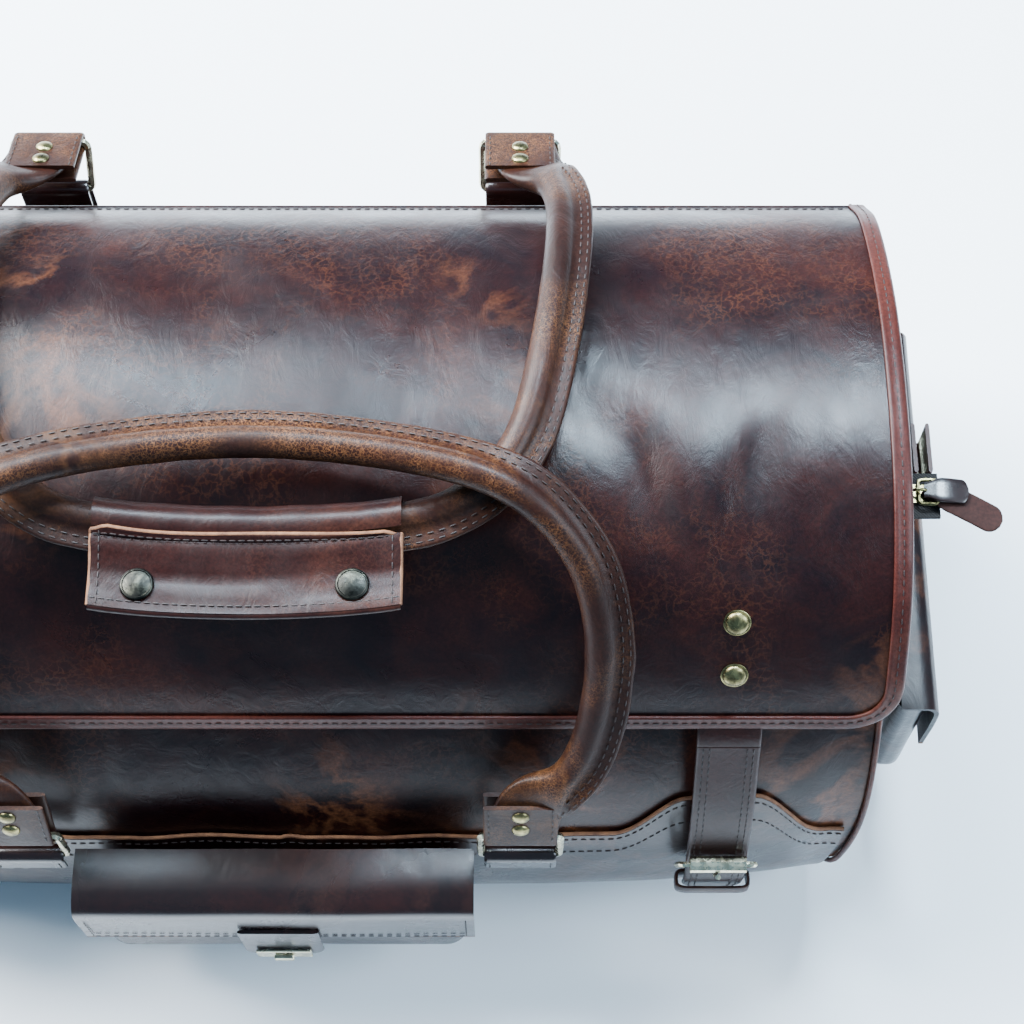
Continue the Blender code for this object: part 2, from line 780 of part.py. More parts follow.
def build_strap(side, name, leather, metal):
    x = side * STRAP_X
    pivot = (x, STRAP_START[0], STRAP_START[1])
    half = STRAP_WIDTH / 2
    line = strap_line()
    tip = STRAP_TIP_LENGTH
    outer, inner = [], []
    left, right = offset_line(line, -STRAP_THICK / 2), offset_line(line, STRAP_THICK / 2)
    for (y, z), (yi, zi), (_, height) in zip(left, right, line):
        above = height - STRAP_TIP[1]
        width = half
        if above < tip:
            width = half * math.sqrt(max(1 - (1 - above / tip) ** 2 * 0.85, 0.1))
        outer.append([Vector((x + width * a, y, z)) for a in (-1, 1)])
        inner.append([Vector((x + width * a, yi, zi)) for a in (-1, 1)])
    strap = sheet(f"strap_{name}", outer, inner, leather, pivot)

    bar = Vector((x, *BUCKLE_BAR))
    top = Vector((x, *ROLLER_CENTRE))
    up = (top - bar).normalized()
    frame_width = STRAP_WIDTH + 2 * (BUCKLE_CLEAR + BUCKLE_WIRE)
    wire_ring(
        f"buckle_frame_{name}", (bar + top) / 2, (1, 0, 0), up, frame_width,
        (top - bar).length, BUCKLE_CORNER, BUCKLE_WIRE, metal, pivot,
    )
    length = frame_width - 2 * ROLLER_SIDE_CLEAR
    sleeve(f"roller_{name}", top, BUCKLE_WIRE + 0.0005, ROLLER_RADIUS, length, metal)

    prong_pivot = tuple(bar)
    out = Vector((0.0, -up.z, up.y))
    prong = [
        bar + out * (BUCKLE_WIRE + PRONG_RADIUS + 2 * GAP),
        bar + out * 0.0045 + up * 0.008,
        bar + out * 0.0060 + up * 0.016,
        top + out * (ROLLER_RADIUS + 1.5 * PRONG_RADIUS) + up * 0.0004,
    ]
    tube(f"prong_{name}", prong, PRONG_RADIUS, metal, prong_pivot)
    slot_width, slot_below, slot_above = PRONG_SLOT
    slot = box(
        f"slot_{name}",
        (x - slot_width / 2, STRAP_OVER_BAR[0] - 2 * STRAP_THICK, BUCKLE_BAR[1] - slot_below),
        (x + slot_width / 2, STRAP_OVER_BAR[0] + 8 / 3 * STRAP_THICK, ROLLER_CENTRE[1] - slot_above),
        leather,
    )
    cut_with(strap, slot)

    mid_y = strap_front_y(KEEPER_Z)
    band(f"keeper_{name}", (x, mid_y, KEEPER_Z), leather, pivot)


def sleeve(name, centre, inner_radius, outer_radius, length, metal):
    """A short tube along X."""
    centre = Vector(centre)
    sections = []
    corners = (
        (outer_radius, -length / 2), (outer_radius, length / 2),
        (inner_radius, length / 2), (inner_radius, -length / 2),
    )
    for k in range(ROUND_STEPS):
        angle = math.tau * k / ROUND_STEPS
        spoke = Vector((0.0, math.cos(angle), math.sin(angle)))
        sections.append([centre + spoke * r + Vector((a, 0.0, 0.0)) for r, a in corners])
    loft(name, sections, metal, tuple(centre), ring=True)


def band(name, centre, leather, pivot):
    """A keeper: a flat band that goes right round the strap."""
    centre = Vector(centre)
    inner = (STRAP_WIDTH / 2 + KEEPER_CLEAR, STRAP_THICK / 2 + KEEPER_CLEAR)
    outer = (inner[0] + KEEPER_THICK, inner[1] + KEEPER_THICK)
    sections = []
    for sx, sy in ((1, 1), (-1, 1), (-1, -1), (1, -1)):
        sections.append(
            [
                centre + Vector((sx * size[0], sy * size[1], h))
                for size, h in (
                    (outer, -KEEPER_HEIGHT / 2), (outer, KEEPER_HEIGHT / 2),
                    (inner, KEEPER_HEIGHT / 2), (inner, -KEEPER_HEIGHT / 2),
                )
            ]
        )
    loft(name, sections, leather, pivot, ring=True)


# ---------------------------------------------------------------- rings and handles


def ring_up(lean):
    angle = math.radians(lean)
    return Vector((0.0, math.sin(angle), math.cos(angle)))


FRONT_HANDLE = (
    (0.1250, -0.9826 * HALF_DEPTH, 0.1860),
    (0.1440, -0.9070 * HALF_DEPTH, 0.2060),
    (0.1530, -0.8023 * HALF_DEPTH, 0.2320),
    (0.1545, -0.6570 * HALF_DEPTH, 0.2640),
    (0.1440, -0.5058 * HALF_DEPTH, 0.2920),
    (0.1160, -0.3779 * HALF_DEPTH, 0.3110),
    (0.0700, -0.2907 * HALF_DEPTH, 0.3130),
    (0.0000, -0.2384 * HALF_DEPTH, 0.3090),
)
REAR_HANDLE = (
    (0.1250, 0.8256 * HALF_DEPTH, 0.2460),
    (0.1350, 0.7151 * HALF_DEPTH, 0.2590),
    (0.1390, 0.5698 * HALF_DEPTH, 0.2745),
    (0.1370, 0.3488 * HALF_DEPTH, 0.2880),
    (0.1300, 0.0581 * HALF_DEPTH, 0.2965),
    (0.1190, -0.1860 * HALF_DEPTH, 0.2955),
    (0.0980, -0.3372 * HALF_DEPTH, 0.2930),
    (0.0660, -0.4070 * HALF_DEPTH, 0.2905),
    (0.0000, -0.4302 * HALF_DEPTH, 0.2895),
)


def mirrored(half):
    right = [Vector(p) for p in half]
    left = [Vector((-p.x, p.y, p.z)) for p in right]
    return left + right[-2::-1]


def handle_sections(bar, half):
    """Sections of a rolled handle from its left ring's bar to its right one."""
    start = (Vector(half[0]) - Vector((RING_X, *bar))).normalized()
    first = Vector((RING_X, *bar)) + start * (RING_WIRE + HANDLE_CLEAR)
    route = spline(mirrored([tuple(first)] + list(half)), 3)
    middle = sum(route, Vector()) / len(route)
    travelled = [0.0]
    for a, b in zip(route, route[1:]):
        travelled.append(travelled[-1] + (b - a).length)
    total = travelled[-1]
    sections = []
    for i, point in enumerate(route):
        ahead = (route[min(i + 1, len(route) - 1)] - route[max(i - 1, 0)]).normalized()
        near_end = min(travelled[i], total - travelled[i])
        flat = 1 - smoothstep((near_end - END_LENGTH) / 0.022)
        side = 1 if point.x > 0 else -1
        outward = point - middle
        outward.z = 0.0
        outward = outward * (1 - flat) + Vector((side, 0.0, 0.0)) * flat * outward.length
        outward = (outward - ahead * outward.dot(ahead)).normalized()
        up = ahead.cross(outward)
        if up.z < 0:
            up = -up
        section = []
        turn = [math.radians(24 + 312 * k / 9) for k in range(10)]
        round_points = [(math.cos(a), math.sin(a)) for a in turn]
        shape = [(HANDLE_RADIUS + WING, WING_THICK / 2)]
        shape += [(HANDLE_RADIUS * c, HANDLE_RADIUS * s) for c, s in round_points]
        shape += [(HANDLE_RADIUS + WING, -WING_THICK / 2)]
        for a, b in shape:
            angle = math.atan2(b, a)
            fa = END_HALF_WIDTH * math.copysign(abs(math.cos(angle)) ** 0.5, math.cos(angle))
            fb = END_HALF_THICK * math.copysign(abs(math.sin(angle)) ** 0.5, math.sin(angle))
            section.append(point + outward * (a + (fa - a) * flat) + up * (b + (fb - b) * flat))
        sections.append(section)
    return sections


def build_rings_and_handle(name, tab_bar, lean, half, tab_leg, legs_to, leather, rolled, metal):
    up = ring_up(lean)
    ring_bottom = Vector((0.0, *tab_bar))
    ring_top = ring_bottom + up * RING_RISE
    swing = tuple(ring_bottom)
    hang = tuple(ring_top)
    for side, side_name in ((-1, "left"), (1, "right")):
        x = Vector((side * RING_X, 0.0, 0.0))
        wire_ring(
            f"{name}_ring_{side_name}", (ring_bottom + ring_top) / 2 + x, (1, 0, 0), up, RING_WIDTH,
            RING_RISE, RING_CORNER, RING_WIRE, metal, swing,
        )
        fold(
            f"{name}_tab_{side_name}", ring_bottom + x, (1, 0, 0), legs_to, TAB_WIDTH,
            RING_WIRE + 2 * GAP, TAB_THICK, tab_leg, leather, swing,
        )
    sections = handle_sections(tuple(ring_top)[1:], half)
    loft(f"{name}_handle", sections, rolled, hang)


def grip_layer(name, route, line, rolled, pivot):
    """A leather layer along the handle, whose (y, z) line is measured from the handle's middle."""
    sides = [offset_line(line, way * GRIP_THICK / 2) for way in (1, -1)]
    outer, inner = [[[p + Vector((0.0, y, z)) for y, z in side] for p in route] for side in sides]
    sheet(name, outer, inner, rolled, pivot)


def build_grip(rolled, metal):
    """The wrap round the middle of the rear handle, and the layer that snaps down over it."""
    route = [p for p in spline(mirrored(REAR_HANDLE), 3) if abs(p.x) <= GRIP_HALF_LENGTH]
    middle = Vector(REAR_HANDLE[-1])
    radius = HANDLE_RADIUS + 2 * GAP + GRIP_THICK / 2
    flat = GRIP_THICK / 2 + GAP
    over_wing = WING_THICK / 2 + GRIP_CLEAR + GRIP_THICK / 2
    past_wing = HANDLE_RADIUS + WING + 0.005
    wrap = [(-GRIP_REACH, -flat), (-past_wing, -flat), (-past_wing + 0.0045, -over_wing)]
    for k in range(11):
        angle = math.radians(215 + 27.5 * k)
        wrap.append((radius * math.cos(angle), radius * math.sin(angle)))
    pivot = tuple(Vector((0.0, *REAR_TAB_BAR)) + ring_up(REAR_RING_LEAN) * RING_RISE)
    grip_layer("grip_wrap", route, wrap, rolled, pivot)

    flap = [(-radius, over_wing), (-past_wing + 0.0045, over_wing), (-past_wing, flat), (-GRIP_REACH, flat)]
    flap_pivot = (0.0, middle.y - GRIP_REACH, middle.z)
    grip_layer("grip_flap", route, flap, rolled, flap_pivot)
    for side, name in ((-1, "left"), (1, "right")):
        near = min(route, key=lambda p: abs(p.x - side * SNAP_CAP_X))
        base = near + Vector((0.0, -SNAP_CAP_REACH, flat + GRIP_THICK / 2 + GAP))
        rings = ((SNAP_CAP_RADIUS, 0.0), (SNAP_CAP_RADIUS, 0.0006), (SNAP_CAP_RADIUS * 0.6, 0.0018))
        turned(f"grip_snap_{name}", base, (0, 0, 1), rings, metal, flap_pivot)


# ---------------------------------------------------------------- pockets


def pouch(name, low, high, wall, corner, surface):
    """An open-topped pouch with rounded upright corners and a rounded foot."""
    low, high = Vector(low), Vector(high)
    centre = (low + high) / 2
    half_x, half_y = (high.x - low.x) / 2, (high.y - low.y) / 2

    def loop(inset, z, rounding):
        shape = rounded_rectangle(half_x - inset, half_y - inset, max(rounding - inset, 0.0012), 2)
        return [Vector((centre.x + a, centre.y + b, z)) for a, b in shape]

    foot = 0.005
    sections = [
        loop(foot * 0.8, low.z, corner),
        loop(foot * 0.2, low.z + foot * 0.35, corner),
        loop(0.0, low.z + foot, corner),
        loop(0.0, high.z, corner),
        loop(wall, high.z, corner),
        loop(wall, low.z + foot + wall, corner),
    ]
    return loft(name, sections, surface)


def build_front_pocket(leather, trim, metal):
    pouch(
        "front_pocket",
        (-POCKET_HALF_WIDTH, POCKET_Y[0], POCKET_Z[0]),
        (POCKET_HALF_WIDTH, POCKET_Y[1], POCKET_Z[1]),
        POCKET_WALL,
        POCKET_CORNER,
        leather,
    )
    pivot = (0.0, *POCKET_HINGE)
    front = POCKET_Y[0] - GAP * 4 - POCKET_FLAP_THICK / 2
    top = POCKET_HINGE[1]
    line = [
        POCKET_HINGE,
        (POCKET_HINGE[0] * 0.5 + front * 0.5, top + 0.0012),
        (front + 0.008, top),
        (front + 0.002, top - 0.003),
        (front, top - 0.009),
        (front - 0.0004, (top + POCKET_FLAP_DROP_Z) / 2),
        (front, POCKET_FLAP_DROP_Z),
    ]
    reach = POCKET_HALF_WIDTH + 0.0025
    strip("pocket_flap", line, POCKET_FLAP_THICK, -reach, reach, leather, pivot)
    tongue_y = front - POCKET_FLAP_THICK / 2 - 2 * GAP - TONGUE_THICK / 2 - 0.0004
    tongue = [(tongue_y, TONGUE_Z[1]), (tongue_y - 0.0002, sum(TONGUE_Z) / 2), (tongue_y, TONGUE_Z[0])]
    half = TONGUE_WIDTH / 2
    strip("lock_tongue", tongue, TONGUE_THICK, -half, half, trim, pivot)
    plate_w, plate_t, plate_h = LOCK_PLATE
    face = tongue_y - TONGUE_THICK / 2 - 2 * GAP
    low_z = TONGUE_Z[0] + 0.003
    box(
        "lock_plate",
        (-plate_w / 2, face - plate_t, low_z),
        (plate_w / 2, face, low_z + plate_h),
        metal,
        pivot,
        bevel=0.0005,
    )
    button_w, button_t, button_h = LOCK_BUTTON
    middle = low_z + plate_h / 2
    button_face = face - plate_t - GAP
    box(
        "lock_button",
        (-button_w / 2, button_face - button_t, middle - button_h / 2),
        (button_w / 2, button_face, middle + button_h / 2),
        metal,
        (0.0, button_face, middle),
        bevel=0.0006,
    )
    base_w, base_t, base_h = LOCK_BASE
    wall = POCKET_Y[0] - GAP
    box(
        "lock_base",
        (-base_w / 2, wall - base_t, middle - base_h / 2),
        (base_w / 2, wall, middle + base_h / 2),
        metal,
        bevel=0.0005,
    )


def build_end_pocket(side, name, leather, trim, metal):
    xs = sorted(side * x for x in END_POCKET_X)
    pouch(
        f"end_pocket_{name}",
        (xs[0], END_POCKET_Y[0], END_POCKET_Z[0]),
        (xs[1], END_POCKET_Y[1], END_POCKET_Z[1]),
        POCKET_WALL,
        END_POCKET_CORNER,
        leather,
    )
    hinge_x, hinge_z = END_FLAP_HINGE
    pivot = (side * hinge_x, 0.0, hinge_z)
    out_x = END_POCKET_X[1] + 4 * GAP + POCKET_FLAP_THICK / 2
    line = [
        (hinge_x, hinge_z),
        (out_x - 0.006, hinge_z + 0.0005),
        (out_x - 0.0015, hinge_z - 0.003),
        (out_x, hinge_z - 0.010),
        (out_x + 0.0005, (hinge_z + END_FLAP_DROP_Z) / 2),
        (out_x, END_FLAP_DROP_Z),
    ]
    outer, inner = [], []
    reach = (END_POCKET_Y[0] - 0.002, END_POCKET_Y[1] + 0.002)
    half = POCKET_FLAP_THICK / 2
    for (xo, zo), (xi, zi) in zip(offset_line(line, half), offset_line(line, -half)):
        outer.append([Vector((side * xo, y, zo)) for y in reach])
        inner.append([Vector((side * xi, y, zi)) for y in reach])
    sheet(f"end_pocket_flap_{name}", outer, inner, leather, pivot)

    bar = Vector((side * D_RING_BAR[0], 0.0, D_RING_BAR[1]))
    half_width = D_RING_WIDTH / 2
    path = [bar + Vector((0.0, y, 0.0)) for y in (-half_width, 0.0, half_width)]
    for k in range(1, 8):
        angle = math.pi * k / 8
        path.append(
            bar + Vector((0.0, half_width * math.cos(angle), -D_RING_HEIGHT * math.sin(angle) ** 0.8))
        )
    tube(f"d_ring_{name}", path, D_RING_WIRE, metal, tuple(bar), closed=True)
    fold(
        f"d_ring_tab_{name}", bar, (0, 1, 0), (0, 0, 1), D_TAB_WIDTH - 2 * D_RING_WIRE,
        D_RING_WIRE + 2 * GAP, TAB_THICK, D_TAB_LEG, trim, tuple(bar),
    )


# ---------------------------------------------------------------- the whole bag


def main():
    clear_scene()
    leather = body_leather()
    trim = trim_leather()
    rolled = handle_leather()
    metal = antique_brass()
    cloth = lining_cloth()
    tape = zip_tape()
    build_body(leather, cloth, trim)
    for side, name in ((-1, "left"), (1, "right")):
        build_end(side, name, leather, trim)
        build_strap(side, name, leather, metal)
        build_end_pocket(side, name, leather, trim, metal)
    build_mouth(leather, tape)
    build_slider(metal, trim)
    build_flap(leather, trim, metal)
    build_rings_and_handle(
        "front", FRONT_TAB_BAR, FRONT_RING_LEAN, FRONT_HANDLE, FRONT_TAB_LEG,
        Vector((0.0, 0.0, -1.0)), leather, rolled, metal,
    )
    build_rings_and_handle(
        "rear", REAR_TAB_BAR, REAR_RING_LEAN, REAR_HANDLE, REAR_TAB_LEG,
        Vector((0.0, 0.0, -1.0)), leather, rolled, metal,
    )
    build_grip(rolled, metal)
    build_front_pocket(leather, trim, metal)


main()
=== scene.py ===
"""Looks of the leather holdall: high-resolution leather skins, stitching, rolled handles and hardware."""

import math

import bmesh
import bpy
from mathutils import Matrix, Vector, noise


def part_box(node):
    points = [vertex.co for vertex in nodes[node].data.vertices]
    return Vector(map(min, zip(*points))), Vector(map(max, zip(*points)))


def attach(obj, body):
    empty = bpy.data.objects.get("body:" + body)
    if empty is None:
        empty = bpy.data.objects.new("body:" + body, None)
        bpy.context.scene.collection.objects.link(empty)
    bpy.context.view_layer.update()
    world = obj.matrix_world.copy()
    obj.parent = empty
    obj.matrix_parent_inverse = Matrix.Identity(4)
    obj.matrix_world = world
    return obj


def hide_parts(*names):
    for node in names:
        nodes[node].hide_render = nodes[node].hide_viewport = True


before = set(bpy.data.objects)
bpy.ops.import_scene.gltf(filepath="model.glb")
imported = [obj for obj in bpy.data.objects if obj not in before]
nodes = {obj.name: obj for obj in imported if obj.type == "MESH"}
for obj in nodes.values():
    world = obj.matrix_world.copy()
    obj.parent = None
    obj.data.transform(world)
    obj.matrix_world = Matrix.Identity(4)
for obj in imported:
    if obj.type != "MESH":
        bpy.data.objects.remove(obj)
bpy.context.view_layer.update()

SIDES = ((-1, "left"), (1, "right"))
SMOOTH_ANGLE = 50
CAP_SIDES = 32
CORNER_ROWS = 12

# Body, as in the CAD frame
HALF_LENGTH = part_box("body_panel")[1][0]
HALF_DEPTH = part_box("body_panel")[1][1]
WIDEST_Z = 0.065
BASE_HALF_FLAT = 0.112
FRONT_SHOULDER = (0.108, 0.215)
REAR_SHOULDER = (0.124, 0.218)
LEAN = 2.6
END_TAPER = 0.07
FOOT_TAPER = 0.045
FOOT_TAPER_Z = 0.15
LEATHER = 0.003
WRAP = 0.0025
SKIN_GAP = HALF_LENGTH / 576
BOTTOM_Z = WRAP + SKIN_GAP
END_BULGE = 0.016
END_TOP_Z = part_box("end_panel_right")[1][2]
WRAP_EDGE_Z = 0.122
WRAP_RISE = 0.026
WRAP_DROP = 0.014
WRAP_REACH = 0.982

# Flap
FLAP_HALF_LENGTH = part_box("flap_binding")[1][0]
FLAP_THICK = 0.003
FLAP_POINTS = (
    (0.131, 0.2265), (0.102, 0.256), (0.050, 0.279), (0.0, 0.286),
    (-0.050, 0.282), (-0.092, 0.264), (-0.121, 0.234), (-0.138, 0.203),
)
FLAP_CORNER = 0.025

# Straps
STRAP_X = 0.2165
STRAP_WIDTH = 0.030
STRAP_THICK = 0.003
STRAP_POINTS = (
    (-0.1435, 0.1955), (-0.1625, 0.158), (-0.1745, 0.1235), (-0.1812, 0.1010), (-0.1785, 0.072),
)
KEEPER_PROFILE = (
    (0.0004, -1.0), (0.0, -0.85), (0.0, 0.85), (0.0004, 1.0), (0.0016, 1.0), (0.0019, 0.0), (0.0016, -1.0),
)

# Rings and handles
RING_X = 0.1195
RING_WIRE = 0.002
FRONT_TAB_BAR = (-0.1785, 0.134)
REAR_TAB_BAR = (0.1500, 0.214)
RING_RISE = 0.026
FRONT_RING_LEAN = 4.0
REAR_RING_LEAN = 32.0
HANDLE_RADIUS = 0.00725
WING = 0.008
END_LENGTH = 0.026
HANDLE_CLEAR = 0.0036
FRONT_HANDLE = (
    (0.1250, -0.1690, 0.1860), (0.1440, -0.1560, 0.2060), (0.1530, -0.1380, 0.2320),
    (0.1545, -0.1130, 0.2640), (0.1440, -0.0870, 0.2920), (0.116, -0.065, 0.311),
    (0.070, -0.050, 0.313), (0.0, -0.041, 0.309),
)
REAR_HANDLE = (
    (0.1250, 0.1420, 0.2460), (0.1350, 0.1230, 0.2590), (0.139, 0.098, 0.2745), (0.137, 0.060, 0.2880),
    (0.130, 0.010, 0.2965), (0.119, -0.032, 0.2955), (0.098, -0.058, 0.2930), (0.066, -0.070, 0.2905),
    (0.0, -0.0740, 0.2895),
)
GRIP_HALF_LENGTH = 0.068
END_RIVET_RINGS = ((0.0042, 0.0), (0.0042, 0.0005), (0.0034, 0.0012), (0.0018, 0.0017), (0.0001, 0.0018))

STITCH_PITCH = 0.0045
STITCH_LENGTH = 0.0029
STITCH_RADIUS = 0.00033
STITCH_SIDES = 6
STITCH_PROFILE = ((-0.5, 0.35), (-0.32, 0.95), (0.0, 1.0), (0.32, 0.95), (0.5, 0.35))
HANDLE_STITCH_PITCH = 0.0052
GRIP_STITCH_PITCH = 0.0040

# Mouth and zip
ZIP_Y = -0.045
ZIP_Z = 0.2600
MOUTH_BOW = 0.006
MOUTH_HALF_LENGTH = 0.2845
TOOTH_PITCH = 0.0030
TOOTH_COUNT = 190
TOOTH_HALF_WIDTH = 0.00065
TOOTH_NEAR = 0.0008
TOOTH_FAR = 0.0034
TOOTH_LAYERS = ((0.2587, 0.0003), (0.2591, 0.0), (0.2609, 0.0), (0.2613, 0.0003))

# Pockets
POCKET_FLAP_BACK_Y = -0.1765
POCKET_FLAP_TOP_Z = 0.1335
END_POCKET_HINGE_Z = 0.1385
POUCH_WALL = 0.0022
TAB_WIDTH = 0.035
FOLD_CLEAR = 0.0017

ALONG_X = Vector((1.0, 0.0, 0.0))
UP = Vector((0.0, 0.0, 1.0))

# Studio: name, place, target, size, power, colour
LIGHTS = (
    ("window", (-2.0, 1.3, 2.1), (0.0, 0.0, 0.0), (2.2, 2.2), 820.0, (0.93, 0.97, 1.0)),
    ("pane_left", (-0.36, 1.15, 2.1), (0.0, 0.0, 0.28), (0.44, 0.44), 46.0, (0.62, 0.82, 1.0)),
    ("pane_right", (0.50, 0.85, 2.1), (0.2, 0.0, 0.28), (0.56, 0.20), 100.0, (0.66, 0.84, 1.0)),
    ("right_fill", (2.3, -0.5, 1.9), (0.5, -0.3, 0.0), (1.4, 1.4), 130.0, (0.70, 0.86, 1.0)),
)
SKY = (0.42, 0.70, 1.0, 1.0)
SKY_STRENGTH = 0.60
LENS = 73.1
SENSOR = 36.0
CAMERA_PLACE = (0.1155, -0.4382, 1.1254)
CAMERA_TARGET = (0.1155, -0.064, 0.285)


# ---------------------------------------------------------------- materials


def node(tree, kind, **settings):
    made = tree.nodes.new(kind)
    for key, value in settings.items():
        if key in made.inputs:
            made.inputs[key].default_value = value
        else:
            setattr(made, key, value)
    return made


def new_material(name, roughness, metallic=0.0):
    made = bpy.data.materials.new(name)
    made.use_nodes = True
    tree = made.node_tree
    shader = tree.nodes["Principled BSDF"]
    shader.inputs["Roughness"].default_value = roughness
    shader.inputs["Metallic"].default_value = metallic
    return made, tree, shader


def ramp(tree, source, stops):
    made = tree.nodes.new("ShaderNodeValToRGB")
    elements = made.color_ramp.elements
    while len(elements) < len(stops):
        elements.new(0.5)
    for element, (position, colour) in zip(elements, stops):
        element.position = position
        element.color = (*colour, 1.0)
    tree.links.new(source, made.inputs[0])
    return made.outputs[0]


def grey(value):
    return (value, value, value)


def mix(tree, kind, factor, a, b):
    made = tree.nodes.new("ShaderNodeMix")
    made.data_type = "RGBA"
    made.blend_type = kind
    for socket, value in ((made.inputs[0], factor), (made.inputs[6], a), (made.inputs[7], b)):
        if hasattr(value, "links"):
            tree.links.new(value, socket)
        else:
            socket.default_value = value
    return made.outputs[2]


def noise_of(tree, place, scale, detail=4.0, roughness=0.55, distortion=0.0):
    made = node(tree, "ShaderNodeTexNoise", Scale=scale, Detail=detail, Roughness=roughness)
    made.inputs["Distortion"].default_value = distortion
    tree.links.new(place, made.inputs["Vector"])
    return made.outputs["Fac"]


def place_of(tree, stretch=(1.0, 1.0, 1.0)):
    coords = tree.nodes.new("ShaderNodeTexCoord")
    mapping = tree.nodes.new("ShaderNodeMapping")
    mapping.inputs["Scale"].default_value = stretch
    tree.links.new(coords.outputs["Object"], mapping.inputs["Vector"])
    return mapping.outputs["Vector"]


def bump_chain(tree, shader, heights):
    """Bumps stacked on each other: (height output, strength, distance in metres)."""
    normal = None
    for height, strength, distance in heights:
        made = node(tree, "ShaderNodeBump", Strength=strength, Distance=distance)
        tree.links.new(height, made.inputs["Height"])
        if normal is not None:
            tree.links.new(normal, made.inputs["Normal"])
        normal = made.outputs["Normal"]
    tree.links.new(normal, shader.inputs["Normal"])


def crackle(tree, place, scale, wander, width):
    """A network of fine lines, 1 on the lines: cells whose walls wander."""
    shift = node(tree, "ShaderNodeTexNoise", Scale=scale * 0.9, Detail=3.0)
    tree.links.new(place, shift.inputs["Vector"])
    moved = tree.nodes.new("ShaderNodeVectorMath")
    moved.operation = "MULTIPLY_ADD"
    tree.links.new(shift.outputs["Color"], moved.inputs[0])
    moved.inputs[1].default_value = (wander / scale,) * 3
    tree.links.new(place, moved.inputs[2])
    cells = node(tree, "ShaderNodeTexVoronoi", Scale=scale)
    cells.feature = "DISTANCE_TO_EDGE"
    tree.links.new(moved.outputs["Vector"], cells.inputs["Vector"])
    return ramp(tree, cells.outputs["Distance"], ((0.0, grey(1.0)), (width, grey(0.0))))


def leather(
    name, dark, warm, pale, warm_share, lines, sheen, grain=0.5, coat=0.10, cell=210.0, cloudy=1.0
):
    """Waxed pull-up leather: dark ground, warm rubbed clouds, a pale crackle where it bends, pore grain."""
    made, tree, shader = new_material(name, sheen)
    place = place_of(tree)
    clouds = noise_of(tree, place, 8.5, 5.0, 0.60, 0.7)
    cloud = ramp(tree, clouds, ((0.66 - 0.3 * warm_share, grey(0.0)), (0.92 - 0.3 * warm_share, grey(1.0))))
    streaks = noise_of(tree, place, 30.0, 7.0, 0.66, 0.9)
    middle = tuple(0.6 * d + 0.4 * w for d, w in zip(dark, warm))
    ground = ramp(tree, streaks, ((0.35, dark), (0.72, middle)))
    tone = mix(tree, "MIX", cloud, ground, (*warm, 1.0))
    soft = ramp(
        tree, noise_of(tree, place, 17.0, 5.0, 0.58, 0.5),
        ((0.445, grey(0.0)), (0.50, grey(1.1 * lines * cloudy)), (0.555, grey(0.0))),
    )
    patch = ramp(tree, noise_of(tree, place, 5.5, 2.0), ((0.46, grey(0.0)), (0.62, grey(1.0))))
    tone = mix(tree, "MIX", mix(tree, "MULTIPLY", 1.0, soft, patch), tone, (*pale, 1.0))
    net = crackle(tree, place, cell, 2.2, 0.12)
    fine = crackle(tree, place, cell * 3.1, 1.4, 0.16)
    rubbed = noise_of(tree, place, 16.0, 4.0, 0.6, 0.6)
    worn = ramp(tree, rubbed, ((0.45, grey(0.0)), (0.75, grey(0.45 * lines))))
    tone = mix(tree, "MIX", mix(tree, "MULTIPLY", 1.0, net, worn), tone, (*pale, 1.0))
    speck = ramp(tree, noise_of(tree, place, 700.0, 3.0), ((0.35, grey(0.70)), (0.68, grey(1.22))))
    tone = mix(tree, "MULTIPLY", 1.0, tone, speck)
    tree.links.new(tone, shader.inputs["Base Color"])
    rough = ramp(
        tree, noise_of(tree, place, 14.0, 5.0, 0.6, 0.8),
        ((0.32, grey(sheen - 0.06)), (0.72, grey(sheen + 0.16))),
    )
    tree.links.new(rough, shader.inputs["Roughness"])
    shader.inputs["Coat Weight"].default_value = coat
    shader.inputs["Coat Roughness"].default_value = 0.26
    shader.inputs["Specular IOR Level"].default_value = 0.16
    wrinkles = noise_of(tree, place_of(tree, (1.0, 0.5, 1.0)), 80.0, 6.0, 0.66, 1.4)
    bump_chain(
        tree, shader,
        (
            (noise_of(tree, place, 22.0, 3.0, 0.5, 0.4), 0.30, 0.0026),
            (wrinkles, 0.36 * grain + 0.10, 0.0011),
            (net, -0.36 * grain - 0.06, 0.0005),
            (fine, -0.42 * grain, 0.0003),
        ),
    )
    return made


def raw_edge():
    made, tree, shader = new_material("raw_cut_edge", 0.8)
    place = place_of(tree)
    tone = ramp(
        tree, noise_of(tree, place, 160.0, 6.0, 0.7),
        ((0.3, (0.070, 0.022, 0.009)), (0.7, (0.22, 0.095, 0.040))),
    )
    tree.links.new(tone, shader.inputs["Base Color"])
    bump_chain(tree, shader, ((noise_of(tree, place, 900.0, 4.0), 0.6, 0.0004),))
    return made


def thread():
    made, tree, shader = new_material("waxed_thread", 0.6)
    place = place_of(tree)
    tone = ramp(
        tree, noise_of(tree, place, 300.0, 3.0),
        ((0.3, (0.004, 0.002, 0.002)), (0.7, (0.020, 0.008, 0.006))),
    )
    tree.links.new(tone, shader.inputs["Base Color"])
    bump_chain(tree, shader, ((noise_of(tree, place, 1500.0, 2.0), 0.5, 0.0003),))
    return made


